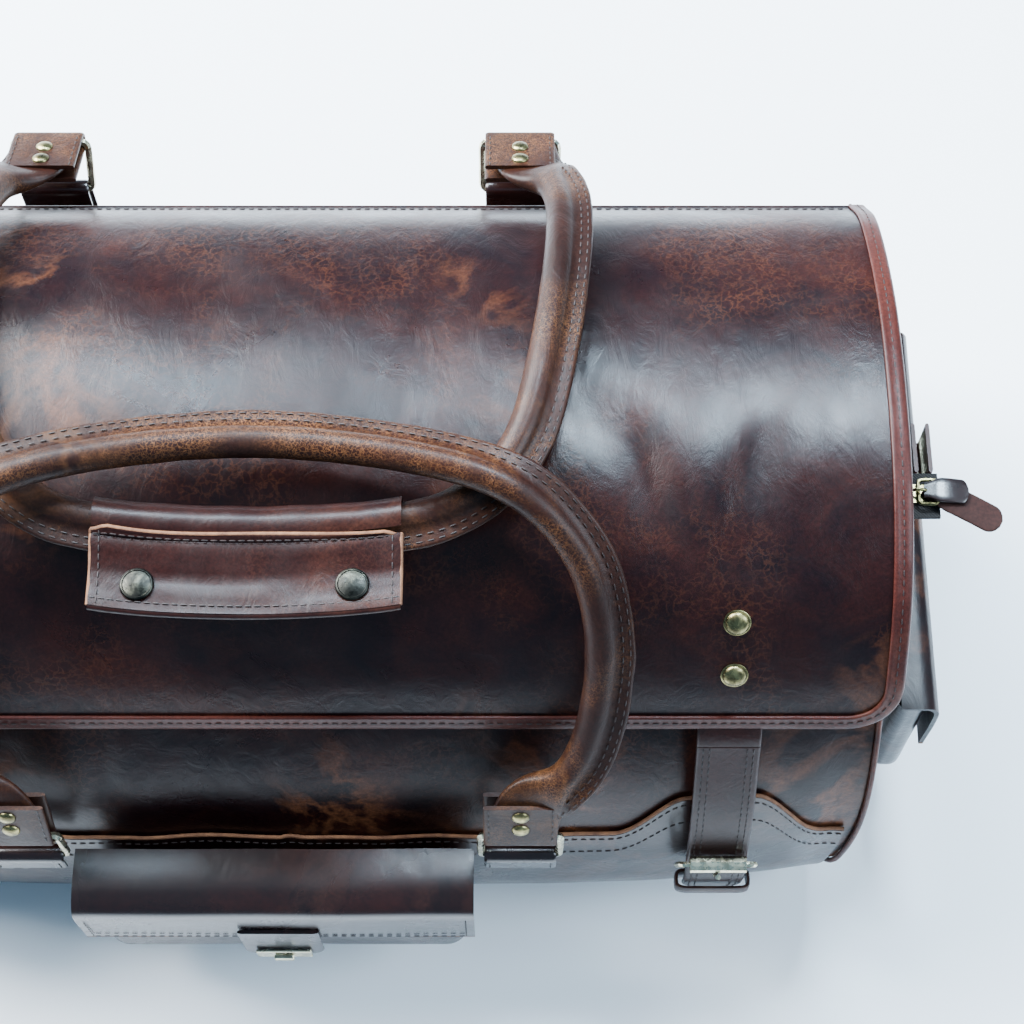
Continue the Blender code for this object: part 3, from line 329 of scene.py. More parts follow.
def brass(name, dark, bright, roughness, wear=0.5):
    """Antique brass: dark tarnish in cloudy patches with rubbed bright metal."""
    made, tree, shader = new_material(name, roughness, 1.0)
    place = place_of(tree)
    clouds = noise_of(tree, place, 140.0, 6.0, 0.65, 0.4)
    tone = ramp(tree, clouds, ((0.62 - 0.35 * wear, dark), (0.80 - 0.25 * wear, bright)))
    tree.links.new(tone, shader.inputs["Base Color"])
    rough = ramp(
        tree, noise_of(tree, place, 260.0, 4.0),
        ((0.3, grey(roughness - 0.08)), (0.7, grey(roughness + 0.16))),
    )
    tree.links.new(rough, shader.inputs["Roughness"])
    scratches = noise_of(tree, place_of(tree, (0.15, 1.0, 1.0)), 1400.0, 3.0)
    bump_chain(
        tree, shader,
        ((noise_of(tree, place, 420.0, 4.0), 0.20, 0.0004), (scratches, 0.12, 0.0002)),
    )
    return made


def cloth(name, dark, light):
    made, tree, shader = new_material(name, 0.9)
    place = place_of(tree)
    weave = node(tree, "ShaderNodeTexWave", Scale=420.0, Distortion=1.2)
    weave.bands_direction = "DIAGONAL"
    tree.links.new(place, weave.inputs["Vector"])
    tone = ramp(tree, weave.outputs["Fac"], ((0.2, dark), (0.8, light)))
    faded = ramp(tree, noise_of(tree, place, 40.0), ((0.3, grey(0.6)), (0.7, grey(1.2))))
    tone = mix(tree, "MULTIPLY", 0.5, tone, faded)
    tree.links.new(tone, shader.inputs["Base Color"])
    bump_chain(tree, shader, ((weave.outputs["Fac"], 0.5, 0.0004),))
    return made


def floor_with_painted_front_shade():
    made, tree, shader = new_material("pale_floor_painted_front_shade", 0.65)
    place = place_of(tree)
    tone = ramp(
        tree, noise_of(tree, place, 1.6, 2.0),
        ((0.3, (0.84, 0.87, 0.90)), (0.7, (0.87, 0.89, 0.92))),
    )
    # Painted shade: in front of the bag, from y = -0.42 to y = -1.1, the floor darkens to a dim blue-grey
    # (0.16, 0.19, 0.23), so the leather's front faces reflect shade instead of pale floor.
    parts = tree.nodes.new("ShaderNodeSeparateXYZ")
    tree.links.new(place, parts.inputs[0])
    reach = node(tree, "ShaderNodeMapRange")
    for key, value in (("From Min", -1.1), ("From Max", -0.42), ("To Min", 0.0), ("To Max", 1.0)):
        reach.inputs[key].default_value = value
    tree.links.new(parts.outputs["Y"], reach.inputs["Value"])
    tone = mix(tree, "MIX", reach.outputs["Result"], (0.16, 0.19, 0.23, 1.0), tone)
    tree.links.new(tone, shader.inputs["Base Color"])
    return made


MAIN = leather(
    "main_leather", (0.0040, 0.0010, 0.0018), (0.030, 0.0060, 0.0032), (0.130, 0.043, 0.017), 0.40, 0.65,
    0.30, 0.8,
)
LOWER = leather(
    "lower_leather", (0.0045, 0.0014, 0.0019), (0.024, 0.0056, 0.0034), (0.080, 0.030, 0.016), 0.45, 0.35,
    0.28, 0.6, 0.45,
)
EDGING = leather(
    "edging_leather", (0.034, 0.0064, 0.0046), (0.064, 0.0140, 0.0090), (0.150, 0.048, 0.027), 0.6, 0.4, 0.42,
    0.9, 0.10, 420.0,
)
STRAPPING = leather(
    "strap_leather", (0.010, 0.0024, 0.0020), (0.026, 0.0060, 0.0040), (0.080, 0.026, 0.014), 0.5, 0.4, 0.36,
    0.9, 0.15, 420.0,
)
ROLLED = leather(
    "rolled_leather", (0.0110, 0.0030, 0.0018), (0.030, 0.0080, 0.0036), (0.260, 0.105, 0.036), 0.6, 1.6,
    0.45, 1.2, 0.05, 620.0, 0.10,
)
GRIP = leather(
    "grip_leather", (0.0090, 0.0020, 0.0017), (0.030, 0.0064, 0.0040), (0.100, 0.034, 0.018), 0.55, 0.5, 0.34,
    0.9, 0.15, 420.0,
)
DARK = leather(
    "dark_leather", (0.0046, 0.0013, 0.0014), (0.020, 0.0040, 0.0025), (0.050, 0.017, 0.010), 0.55, 0.2, 0.22,
    0.4, 0.7,
)
FLESH = leather(
    "flesh_side", (0.018, 0.0060, 0.0048), (0.034, 0.0120, 0.0088), (0.080, 0.034, 0.022), 0.6, 0.2, 0.70,
    1.0, 0.0, 420.0,
)
RAW = raw_edge()
THREAD = thread()
PALE_BRASS = brass("pale_brass", (0.42, 0.37, 0.24), (0.70, 0.66, 0.48), 0.22, 0.9)
ANTIQUE = brass("antique_brass", (0.085, 0.072, 0.034), (0.34, 0.29, 0.13), 0.28, 0.6)
TARNISHED = brass("tarnished_brass", (0.016, 0.016, 0.014), (0.070, 0.068, 0.052), 0.32, 0.4)
COTTON = cloth("cotton_lining", (0.060, 0.040, 0.024), (0.105, 0.075, 0.048))
TAPE = cloth("zip_tape", (0.005, 0.004, 0.004), (0.016, 0.012, 0.010))


# ---------------------------------------------------------------- mesh helpers


def link_mesh(name, verts, faces, surface):
    mesh = bpy.data.meshes.new(name)
    mesh.from_pydata([tuple(v) for v in verts], [], faces)
    work = bmesh.new()
    work.from_mesh(mesh)
    bmesh.ops.recalc_face_normals(work, faces=work.faces)
    work.to_mesh(mesh)
    work.free()
    mesh.materials.append(surface)
    mesh.shade_smooth()
    mesh.set_sharp_from_angle(angle=math.radians(SMOOTH_ANGLE))
    made = bpy.data.objects.new(name, mesh)
    bpy.context.scene.collection.objects.link(made)
    return made


def sheet(name, outer, inner, surface):
    """A closed sheet between two grids of points, joined round their rims."""
    rows, columns = len(outer), len(outer[0])
    verts = [p for row in outer for p in row] + [p for row in inner for p in row]
    far = rows * columns
    faces = []
    for i in range(rows - 1):
        for j in range(columns - 1):
            a, b = i * columns + j, i * columns + j + 1
            c, d = b + columns, a + columns
            faces.append((a, b, c, d))
            faces.append((far + d, far + c, far + b, far + a))
    rim = list(range(columns))
    rim += [i * columns + columns - 1 for i in range(1, rows)]
    rim += [(rows - 1) * columns + j for j in range(columns - 2, -1, -1)]
    rim += [i * columns for i in range(rows - 2, 0, -1)]
    for a, b in zip(rim, rim[1:] + rim[:1]):
        faces.append((b, a, far + a, far + b))
    return link_mesh(name, verts, faces, surface)


def loft(name, sections, surface, ring=False):
    count = len(sections[0])
    verts = [p for section in sections for p in section]
    faces = []
    pairs = list(zip(range(len(sections) - 1), range(1, len(sections))))
    if ring:
        pairs.append((len(sections) - 1, 0))
    for i, k in pairs:
        for j in range(count):
            n = (j + 1) % count
            faces.append((i * count + j, i * count + n, k * count + n, k * count + j))
    if not ring:
        faces.append(tuple(range(count - 1, -1, -1)))
        last = (len(sections) - 1) * count
        faces.append(tuple(range(last, last + count)))
    return link_mesh(name, verts, faces, surface)


def tube(name, path, radius, surface, sides=12):
    path = [Vector(p) for p in path]
    count = len(path)
    sections = []
    side = None
    for i, point in enumerate(path):
        ahead = (path[min(i + 1, count - 1)] - path[max(i - 1, 0)]).normalized()
        if side is None:
            side = ahead.orthogonal()
        side = (side - ahead * side.dot(ahead)).normalized()
        across = ahead.cross(side)
        turn = [math.tau * k / sides for k in range(sides)]
        sections.append([point + radius * (math.cos(a) * side + math.sin(a) * across) for a in turn])
    return loft(name, sections, surface)


def turned(name, base, axis, rings, surface):
    base, axis = Vector(base), Vector(axis).normalized()
    side = axis.orthogonal().normalized()
    across = axis.cross(side)
    sections = []
    for radius, height in rings:
        turn = [math.tau * k / CAP_SIDES for k in range(CAP_SIDES)]
        sections.append(
            [base + axis * height + radius * (math.cos(a) * side + math.sin(a) * across) for a in turn]
        )
    return loft(name, sections, surface)


def spline(points, steps):
    points = [Vector(p) for p in points]
    ends = [2 * points[0] - points[1]] + points + [2 * points[-1] - points[-2]]
    found = []
    for p0, p1, p2, p3 in zip(ends, ends[1:], ends[2:], ends[3:]):
        for step in range(steps):
            t = step / steps
            found.append(
                0.5
                * (
                    2 * p1
                    + (p2 - p0) * t
                    + (2 * p0 - 5 * p1 + 4 * p2 - p3) * t * t
                    + (3 * p1 - p0 - 3 * p2 + p3) * t * t * t
                )
            )
    found.append(points[-1])
    return found


def resampled(path, step):
    """Points along a path, evenly spaced."""
    path = [Vector(p) for p in path]
    along = [0.0]
    for a, b in zip(path, path[1:]):
        along.append(along[-1] + (b - a).length)
    count = max(round(along[-1] / step), 1)
    found = []
    i = 0
    for k in range(count + 1):
        distance = along[-1] * k / count
        while i < len(path) - 2 and along[i + 1] < distance:
            i += 1
        share = (distance - along[i]) / max(along[i + 1] - along[i], 1e-9)
        found.append(path[i].lerp(path[i + 1], min(share, 1.0)))
    return found


def offset_line(line, distance):
    moved = []
    for i, point in enumerate(line):
        ahead = Vector(line[min(i + 1, len(line) - 1)]) - Vector(line[max(i - 1, 0)])
        ahead.normalize()
        moved.append((point[0] - ahead[1] * distance, point[1] + ahead[0] * distance))
    return moved


def smoothstep(value):
    value = min(max(value, 0.0), 1.0)
    return value * value * (3.0 - 2.0 * value)


def stitches(name, rows):
    """Thread stitches along rows, each a list of (point, surface normal) at the stitch pitch."""
    verts, faces = [], []
    for row in rows:
        for (here, up), (there, _) in zip(row, row[1:]):
            ahead = (there - here).normalized()
            middle = (here + there) / 2
            across = ahead.cross(up).normalized()
            start = len(verts)
            for along, size in STITCH_PROFILE:
                for k in range(STITCH_SIDES):
                    angle = math.tau * k / STITCH_SIDES
                    verts.append(
                        middle
                        + ahead * along * STITCH_LENGTH
                        + (across * math.cos(angle) + up * math.sin(angle)) * size * STITCH_RADIUS
                    )
            for r in range(len(STITCH_PROFILE) - 1):
                for k in range(STITCH_SIDES):
                    n = (k + 1) % STITCH_SIDES
                    a, b = start + r * STITCH_SIDES + k, start + r * STITCH_SIDES + n
                    faces.append((a, b, b + STITCH_SIDES, a + STITCH_SIDES))
            faces.append(tuple(start + k for k in range(STITCH_SIDES - 1, -1, -1)))
            last = start + (len(STITCH_PROFILE) - 1) * STITCH_SIDES
            faces.append(tuple(last + k for k in range(STITCH_SIDES)))
    return link_mesh(name, verts, faces, THREAD)


def keep(piece, body, slot, *replaced):
    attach(piece, body)
    if replaced:
        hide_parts(*replaced)
    return piece


# ---------------------------------------------------------------- body


def side_depth(z, shoulder):
    if z >= WIDEST_Z:
        share = (z - WIDEST_Z) / (shoulder[1] - WIDEST_Z)
        return HALF_DEPTH - (HALF_DEPTH - shoulder[0]) * share**LEAN
    share = (WIDEST_Z - z) / (WIDEST_Z - BOTTOM_Z)
    return BASE_HALF_FLAT + (HALF_DEPTH - BASE_HALF_FLAT) * math.sqrt(max(1 - share * share, 0.0))


def half_section(top_z, shoulder, upper_rows):
    points = []
    for k in range(upper_rows):
        z = top_z + (WIDEST_Z - top_z) * k / upper_rows
        points.append((side_depth(z, shoulder), z))
    for k in range(CORNER_ROWS):
        angle = math.pi / 2 * k / CORNER_ROWS
        drop = (WIDEST_Z - BOTTOM_Z) * math.sin(angle)
        points.append((side_depth(WIDEST_Z - drop, shoulder), WIDEST_Z - drop))
    points.append((BASE_HALF_FLAT, BOTTOM_Z))
    points.append((BASE_HALF_FLAT / 2, BOTTOM_Z))
    return points


def section_line(front_top, rear_top, upper_rows):
    front = [(-d, z) for d, z in half_section(front_top, FRONT_SHOULDER, upper_rows)]
    rear = [(d, z) for d, z in half_section(rear_top, REAR_SHOULDER, upper_rows)]
    return front + [(0.0, BOTTOM_Z)] + rear[::-1]


def place(u, y, z):
    low = max(FOOT_TAPER_Z - z, 0.0) / FOOT_TAPER_Z
    x = u * HALF_LENGTH * (1 - FOOT_TAPER * low * low)
    return Vector((x, y * (1 - END_TAPER * abs(u) ** 4), z))


def sunk(point, depth):
    """The point drawn towards the bag's long axis, as soft leather sinks between its seams."""
    hub = Vector((point.x, 0.0, 0.11))
    return point + (hub - point).normalized() * depth


def slack(u, y, z):
    """How far the body's leather sinks: folds that run down from the flap and fade at the base."""
    free = smoothstep((z - 0.03) / 0.06) * smoothstep((1 - abs(u)) / 0.05)
    fold = 0.0016 * (1 + noise.noise(Vector((u * 9.0, y * 4.0, z * 7.0))))
    sharp = max(noise.noise(Vector((u * 16.0 + z * 6.0, y * 3.0, z * 5.0 + 7.0))) - 0.15, 0.0)
    return free * (fold + 0.004 * sharp)


def wrap_edge(u):
    x = abs(u) * HALF_LENGTH
    rise = smoothstep((x - STRAP_X + 0.052) / 0.036) * (1 - smoothstep((x - STRAP_X - 0.016) / 0.040))
    drop = smoothstep((x - STRAP_X - 0.016) / 0.050)
    return WRAP_EDGE_Z + WRAP_RISE * rise - WRAP_DROP * drop


def shell_rows(u, line, offset):
    spots = [place(u, y, z) for y, z in offset_line(line, -offset)]
    return [sunk(p, slack(u, p.y, p.z)) if p.z > 0.03 else p for p in spots]


def shell(name, stations, reach, tops, inside, outside, surface, upper_rows):
    outer, inner = [], []
    for k in range(stations):
        u = reach * (2 * k / (stations - 1) - 1)
        line = section_line(*tops(u), upper_rows)
        outer.append(shell_rows(u, line, outside))
        inner.append(shell_rows(u, line, inside))
    return sheet(name, outer, inner, surface)


def wrap_point(u, z, front, offset):
    """A point on the body's front or rear side at a height, at an offset from its surface."""
    shoulder = FRONT_SHOULDER if front else REAR_SHOULDER
    way = -1 if front else 1
    step = 0.002
    low = Vector((way * side_depth(z - step, shoulder), z - step))
    high = Vector((way * side_depth(z + step, shoulder), z + step))
    up = (high - low).normalized()
    out = Vector((way * abs(up.y), abs(up.x)))
    spot = place(u, way * side_depth(z, shoulder) + out.x * offset, z + out.y * offset)
    return sunk(spot, slack(u, spot.y, spot.z)), Vector((0.0, out.x, out.y))


def build_body():
    tops = (FRONT_SHOULDER[1], REAR_SHOULDER[1])
    body = shell("body_leather_skin", 121, 1.0, lambda u: tops, -LEATHER, 0.0, MAIN, 40)
    keep(body, "bag", "body_leather", "body_panel")
    wrap = shell(
        "base_wrap_skin", 161, WRAP_REACH, lambda u: (wrap_edge(u), wrap_edge(u)),
        SKIN_GAP, SKIN_GAP + WRAP, LOWER, 16,
    )
    keep(wrap, "bag", "trim_leather", "base_wrap")
    swap_material("lining", COTTON)
    swap_material("base_board", COTTON)
    seam = []
    for front, name in ((True, "front"), (False, "rear")):
        edge, upper, lower = [], [], []
        for k in range(-400, 401):
            u = WRAP_REACH * k / 400
            top = wrap_edge(u)
            spot, _ = wrap_point(u, top, front, SKIN_GAP + WRAP / 2)
            ragged = 0.0003 * noise.noise(Vector((u * 60.0, 0.0, 3.0)))
            edge.append(spot + Vector((0.0, 0.0, 0.0004 + ragged)))
            upper.append(wrap_point(u, top - 0.0035, front, SKIN_GAP + WRAP + 0.0002))
            lower.append(wrap_point(u, top - 0.0170, front, SKIN_GAP + WRAP + 0.0002))
        bead = tube(f"base_wrap_cut_edge_{name}", edge[::2], 0.0010, RAW, sides=8)
        keep(bead, "bag", "trim_leather")
        for row in (upper, lower):
            seam.append(normals_along(row, STITCH_PITCH))
    keep(stitches("base_wrap_stitching", seam), "bag", "trim_leather")


def normals_along(row, step):
    """Evenly spaced (point, normal) pairs along a row of (point, normal) pairs."""
    points = [p for p, _ in row]
    spaced = resampled(points, step)
    found = []
    i = 0
    for spot in spaced:
        while i < len(points) - 2 and (points[i + 1] - spot).length < (points[i] - spot).length:
            i += 1
        found.append((spot, row[i][1]))
    return found


def end_outline():
    line = section_line(FRONT_SHOULDER[1], REAR_SHOULDER[1], 14)
    start, finish = line[-1], line[0]
    arch = []
    for k in range(1, 20):
        t = k / 20
        y = start[0] + (finish[0] - start[0]) * t
        z = start[1] + (finish[1] - start[1]) * t
        arch.append((y, z + (END_TOP_Z + 0.001 - start[1]) * math.sin(math.pi * t)))
    return line + arch


def end_point(side, y, z, share, extra):
    middle = (0.0, 0.125)
    here = place(1.0, middle[0] + (y - middle[0]) * share, middle[1] + (z - middle[1]) * share)
    edge = place(1.0, y, z)
    sag = 0.0012 * noise.noise(Vector((side * 3.0, here.y * 22.0, here.z * 22.0))) * (1 - share**3)
    x = edge.x + 0.0003 + extra + END_BULGE * (1 - share**2) + sag - 0.0010 * (1 - share**3)
    return Vector((side * x, here.y, here.z))


def build_end(side, name):
    outline = end_outline()
    count = len(outline)
    shares = (1.0, 0.985, 0.95, 0.9, 0.83, 0.75, 0.66, 0.56, 0.46, 0.36, 0.26, 0.16, 0.07)
    verts, faces = [], []
    for extra in (LEATHER, 0.0):
        for share in shares:
            verts += [end_point(side, y, z, share, extra) for y, z in outline]
    layer = count * len(shares)
    for far in (0, layer):
        for r in range(len(shares) - 1):
            for j in range(count):
                n = (j + 1) % count
                a, b = far + r * count + j, far + r * count + n
                faces.append((a, b, b + count, a + count))
        last = far + (len(shares) - 1) * count
        faces.append(tuple(range(last, last + count)))
    for j in range(count):
        n = (j + 1) % count
        faces.append((j, n, layer + n, layer + j))
    keep(link_mesh(f"end_skin_{name}", verts, faces, MAIN), "bag", "body_leather", f"end_panel_{name}")

    line = section_line(FRONT_SHOULDER[1], REAR_SHOULDER[1], 30)
    path = []
    for y, z in offset_line(line, -0.0019):
        spot = place(1.0, y, z)
        path.append(Vector((side * (spot.x + LEATHER / 2), spot.y, max(spot.z, 0.0015))))
    cord = tube(f"end_cord_{name}", path, 0.0014, EDGING, sides=10)
    keep(cord, "bag", "trim_leather", f"end_piping_{name}")
    rim = []
    for y, z in line:
        rim.append((end_point(side, y, z, 0.965, LEATHER + 0.0001), Vector((side, 0.0, 0.0))))
    keep(stitches(f"end_stitching_{name}", [normals_along(rim, STITCH_PITCH)]), "bag", "body_leather")


# ---------------------------------------------------------------- flap


class Drape:
    """The flap's upper surface by distance s from the rear seam and x across, with its soft dents."""

    def __init__(self):
        self.points = spline([(0.0, y, z) for y, z in FLAP_POINTS], 24)
        self.along = [0.0]
        for a, b in zip(self.points, self.points[1:]):
            self.along.append(self.along[-1] + (b - a).length)
        self.length = self.along[-1]

    def at(self, s):
        s = min(max(s, 0.0), self.length)
        low, high = 0, len(self.points) - 2
        while low < high:
            half = (low + high) // 2
            if self.along[half + 1] < s:
                low = half + 1
            else:
                high = half
        step = self.points[low + 1] - self.points[low]
        share = (s - self.along[low]) / step.length
        return self.points[low] + step * share, step.normalized()

    def dent(self, x, s):
        free = smoothstep((FLAP_HALF_LENGTH - abs(x)) / 0.05) * smoothstep(s / 0.05)
        free *= smoothstep((self.length - s) / 0.05)
        broad = 0.0017 * (noise.noise(Vector((x * 5.0, s * 6.0, 1.0))) - 0.6)
        puckers = 0.0
        for cx, cs, wide, long, deep, tilt in (
            (0.176, 0.196, 0.009, 0.030, 0.0024, 0.25),
            (0.200, 0.190, 0.016, 0.028, -0.0008, 0.10),
            (0.226, 0.192, 0.010, 0.030, 0.0022, -0.25),
            (0.150, 0.160, 0.012, 0.050, 0.0016, 0.45),
            (-0.176, 0.184, 0.009, 0.040, 0.0028, -0.20),
            (-0.232, 0.150, 0.012, 0.040, 0.0022, 0.30),
            (-0.020, 0.105, 0.030, 0.045, 0.0014, 0.25),
            (0.075, 0.120, 0.032, 0.060, 0.0018, -0.25),
        ):
            dx, ds = x - cx, s - cs
            across = dx * math.cos(tilt) - ds * math.sin(tilt)
            along = dx * math.sin(tilt) + ds * math.cos(tilt)
            puckers -= deep * math.exp(-((across / wide) ** 2) - (along / long) ** 2)
        fine = 0.00022 * (noise.noise(Vector((x * 26.0, s * 20.0, 4.0))) - 0.5)
        return free * (broad + puckers + fine)

    def point(self, x, s, lift=0.0):
        spot, ahead = self.at(s)
        up = Vector((0.0, ahead.z, -ahead.y))
        spot = spot + up * (lift + self.dent(x, s))
        spot.x = x
        return spot

    def up(self, s):
        ahead = self.at(s)[1]
        return Vector((0.0, ahead.z, -ahead.y))


def flap_outline(drape, inset, step):
    """(x, s) points of the flap's outline from its rear left corner round the front to the rear right."""
    corner = FLAP_CORNER - inset
    end, half = drape.length - inset, FLAP_HALF_LENGTH - inset
    route = [Vector((-half, 0.0)), Vector((-half, end - corner))]
    route += [
        Vector((-half + corner * (1 - math.cos(a)), end - corner + corner * math.sin(a)))
        for a in (math.pi / 2 * k / 12 for k in range(1, 13))
    ]
    route += [
        Vector((half - corner * (1 - math.cos(a)), end - corner + corner * math.sin(a)))
        for a in (math.pi / 2 * k / 12 for k in range(12, -1, -1))
    ]
    route.append(Vector((half, 0.0)))
    return resampled([(p.x, p.y, 0.0) for p in route], step)


def build_flap():
    drape = Drape()
    inset = 0.0023
    corner = FLAP_CORNER - inset
    end = drape.length - inset
    rows = [((end - corner) * k / 90, FLAP_HALF_LENGTH - inset) for k in range(90)]
    for k in range(13):
        angle = math.pi / 2 * k / 12
        rows.append(
            (
                end - corner + corner * math.sin(angle),
                FLAP_HALF_LENGTH - inset - corner * (1 - math.cos(angle)),
            )
        )
    across = [2 * k / 180 - 1 for k in range(181)]
    outer = [[drape.point(half * a, s) for a in across] for s, half in rows]
    inner = [[drape.point(half * a, s, -FLAP_THICK) for a in across] for s, half in rows]
    keep(sheet("flap_leather_skin", outer, inner, MAIN), "flap", "body_leather", "flap_panel")

    low = -FLAP_THICK - 0.0015
    section = [
        (0.0, -0.0030), (0.0002, -0.0012), (0.0009, 0.0006), (0.0020, 0.0013), (0.0045, 0.0014),
        (0.0072, 0.0014), (0.0082, 0.0019), (0.0091, 0.0016), (0.0094, 0.0009), (0.0092, 0.0003),
        (0.0030, 0.0003), (0.0020, 0.0003), (0.0020, -FLAP_THICK - 0.0003),
        (0.0090, -FLAP_THICK - 0.0003), (0.0090, low), (0.0010, low),
    ]
    sections = []
    route = flap_outline(drape, 0.0, 0.003)
    stitch_row = []
    for i, spot in enumerate(route):
        ahead = (route[min(i + 1, len(route) - 1)] - route[max(i - 1, 0)]).normalized()
        inward = Vector((ahead.y, -ahead.x))
        wave = 0.0002 * noise.noise(Vector((i * 0.35, 0.0, 0.0)))
        sections.append(
            [
                drape.point(spot.x + inward.x * w, spot.y + inward.y * w, n + (wave if n > 0 else 0.0))
                for w, n in section
            ]
        )
        at = (spot.x + inward.x * 0.0050, spot.y + inward.y * 0.0050)
        stitch_row.append((drape.point(*at, 0.0015), drape.up(at[1])))
    keep(loft("flap_binding_fold", sections, EDGING), "flap", "trim_leather", "flap_binding")
    keep(
        stitches("flap_binding_stitching", [normals_along(stitch_row, STITCH_PITCH)]),
        "flap", "trim_leather",
    )

    seam = [(drape.point(-0.283 + 0.002 * k, 0.006, 0.0003), drape.up(0.006)) for k in range(284)]
    keep(stitches("rear_seam_stitching", [normals_along(seam, STITCH_PITCH)]), "flap", "body_leather")

    welt = [drape.point(-0.2915 + 0.583 * k / 160, 0.0, -FLAP_THICK / 2) for k in range(161)]
    keep(tube("rear_seam_welt", welt, 0.0024, MAIN, sides=12), "flap", "body_leather")
    lower_row, upper_row = [], []
    for k in range(121):
        u = 0.985 * (2 * k / 120 - 1)
        foot = place(u, REAR_SHOULDER[0] + 0.0012, REAR_SHOULDER[1] - 0.004)
        head = Vector((foot.x, FLAP_POINTS[0][0] - 0.0004, FLAP_POINTS[0][1] - 0.0016))
        lower_row.append([foot, foot.lerp(head, 0.5) + Vector((0.0, 0.0009, 0.0)), head])
        upper_row.append([p + Vector((0.0, -0.0016, 0.0003)) for p in lower_row[-1]])
    keep(sheet("rear_seam_strip", lower_row, upper_row, MAIN), "bag", "body_leather")

    for side, name in SIDES:
        x = side * STRAP_X
        stops = [drape.length - 0.066 + 0.052 * k / 12 for k in range(13)]
        middle = [drape.point(x, s, -FLAP_THICK - 0.0014) for s in stops]
        middle += [Vector((x, -0.1395, 0.2020)), Vector((x, -0.1432, 0.1962)), Vector((x, -0.1448, 0.1925))]
        middle = resampled(spline(middle, 4), 0.0022)
        normals = [-n for n in path_normals(middle, ALONG_X)]
        root = rounded_strip(
            f"strap_root_{name}", middle, normals, STRAP_WIDTH / 2, 0.0024, STRAPPING, ALONG_X
        )
        keep(root, "flap", "body_leather")
        for row in ("upper", "lower"):
            rivet = nodes[f"rivet_{name}_{row}"]
            low_corner, high_corner = (Vector(c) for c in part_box(rivet.name))
            middle_y = (low_corner.y + high_corner.y) / 2
            s = nearest_s(drape, middle_y)
            base = drape.point(x, s, 0.0002)
            axis = drape.up(s)
            rings = [(0.0062, 0.0), (0.0063, 0.0004), (0.0058, 0.0007)]
            rings += [
                (0.0055 * math.cos(a), 0.0007 + 0.0027 * math.sin(a))
                for a in (math.pi / 2 * k / 10 for k in range(10))
            ]
            rings.append((0.0001, 0.0034))
            cap = turned(f"rivet_cap_{name}_{row}", base, axis, rings, ANTIQUE)
            keep(cap, "flap", "antique_brass", rivet.name)


def nearest_s(drape, y):
    best = min(range(len(drape.points)), key=lambda i: abs(drape.points[i].y - y))
    return drape.along[best]


# ---------------------------------------------------------------- strips and folds


def rounded_strip(name, path, normals, half_width, thickness, surface, across, taper=None):
    """A leather strip along a path, with rolled long edges: taper gives the width share at each point."""
    profile = (-1.0, -0.97, -0.90, -0.5, 0.0, 0.5, 0.90, 0.97, 1.0)
    edge = (0.35, 0.75, 1.0, 1.0, 1.0, 1.0, 1.0, 0.75, 0.35)
    outer, inner = [], []
    for i, (spot, up) in enumerate(zip(path, normals)):
        share = taper(i / (len(path) - 1)) if taper else 1.0
        wide = across * half_width * share
        outer.append([spot + wide * a + up * thickness / 2 * e for a, e in zip(profile, edge)])
        inner.append([spot + wide * a - up * thickness / 2 * e for a, e in zip(profile, edge)])
    return sheet(name, outer, inner, surface)


def path_normals(path, across):
    found = []
    for i in range(len(path)):
        ahead = (path[min(i + 1, len(path) - 1)] - path[max(i - 1, 0)]).normalized()
        found.append(across.cross(ahead).normalized())
    return found


def fold_path(bar, along, legs_to, radius, leg):
    """The middle line of a strip folded round a bar, with both legs running the same way."""
    across = along.cross(legs_to)
    found = []
    for k in range(8):
        left = 1 - k / 8
        found.append(bar + legs_to * leg * left + across * radius)
    for k in range(17):
        angle = math.pi * k / 16
        found.append(bar + radius * (across * math.cos(angle) - legs_to * math.sin(angle)))
    found += [bar + legs_to * leg * k / 8 - across * radius for k in range(1, 9)]
    return found


def build_fold(name, bar, along, legs_to, width, radius, thickness, leg, surface):
    path = fold_path(Vector(bar), Vector(along), Vector(legs_to), radius, leg)
    normals = path_normals(path, Vector(along))
    return rounded_strip(name, path, normals, width / 2, thickness, surface, Vector(along))


def build_straps():
    line = [Vector((0.0, y, z)) for y, z in STRAP_POINTS]
    path = resampled(spline(line, 16), 0.0022)
    length = sum((b - a).length for a, b in zip(path, path[1:]))
    tip = 0.014
    for side, name in SIDES:
        shift = Vector((side * STRAP_X, 0.0, 0.0))
        here = [p + shift for p in path]
        normals = [-n for n in path_normals(here, ALONG_X)]

        def taper(t):
            left = (1 - t) * length
            return 1.0 if left > tip else math.sqrt(max(1 - (1 - left / tip) ** 2, 0.06))

        strap = rounded_strip(
            f"strap_leather_{name}", here, normals, STRAP_WIDTH / 2, STRAP_THICK, STRAPPING, ALONG_X, taper
        )
        keep(strap, f"strap_{name}", "body_leather", f"strap_{name}")
        rows = []
        for inset in (0.0032, 0.0062):
            for way in (-1, 1):
                row = []
                for i, (spot, up) in enumerate(zip(here, normals)):
                    share = taper(i / (len(here) - 1))
                    if share > 0.85:
                        wide = STRAP_WIDTH / 2 * share - inset
                        row.append((spot + ALONG_X * way * wide - up * (-STRAP_THICK / 2 - 0.0002), up))
                rows.append(normals_along(row, STITCH_PITCH))
        keep(stitches(f"strap_stitching_{name}", rows), f"strap_{name}", "body_leather")
        keep_keeper(name)
        for part in ("buckle_frame", "roller", "prong"):
            swap_material(f"{part}_{name}", PALE_BRASS)


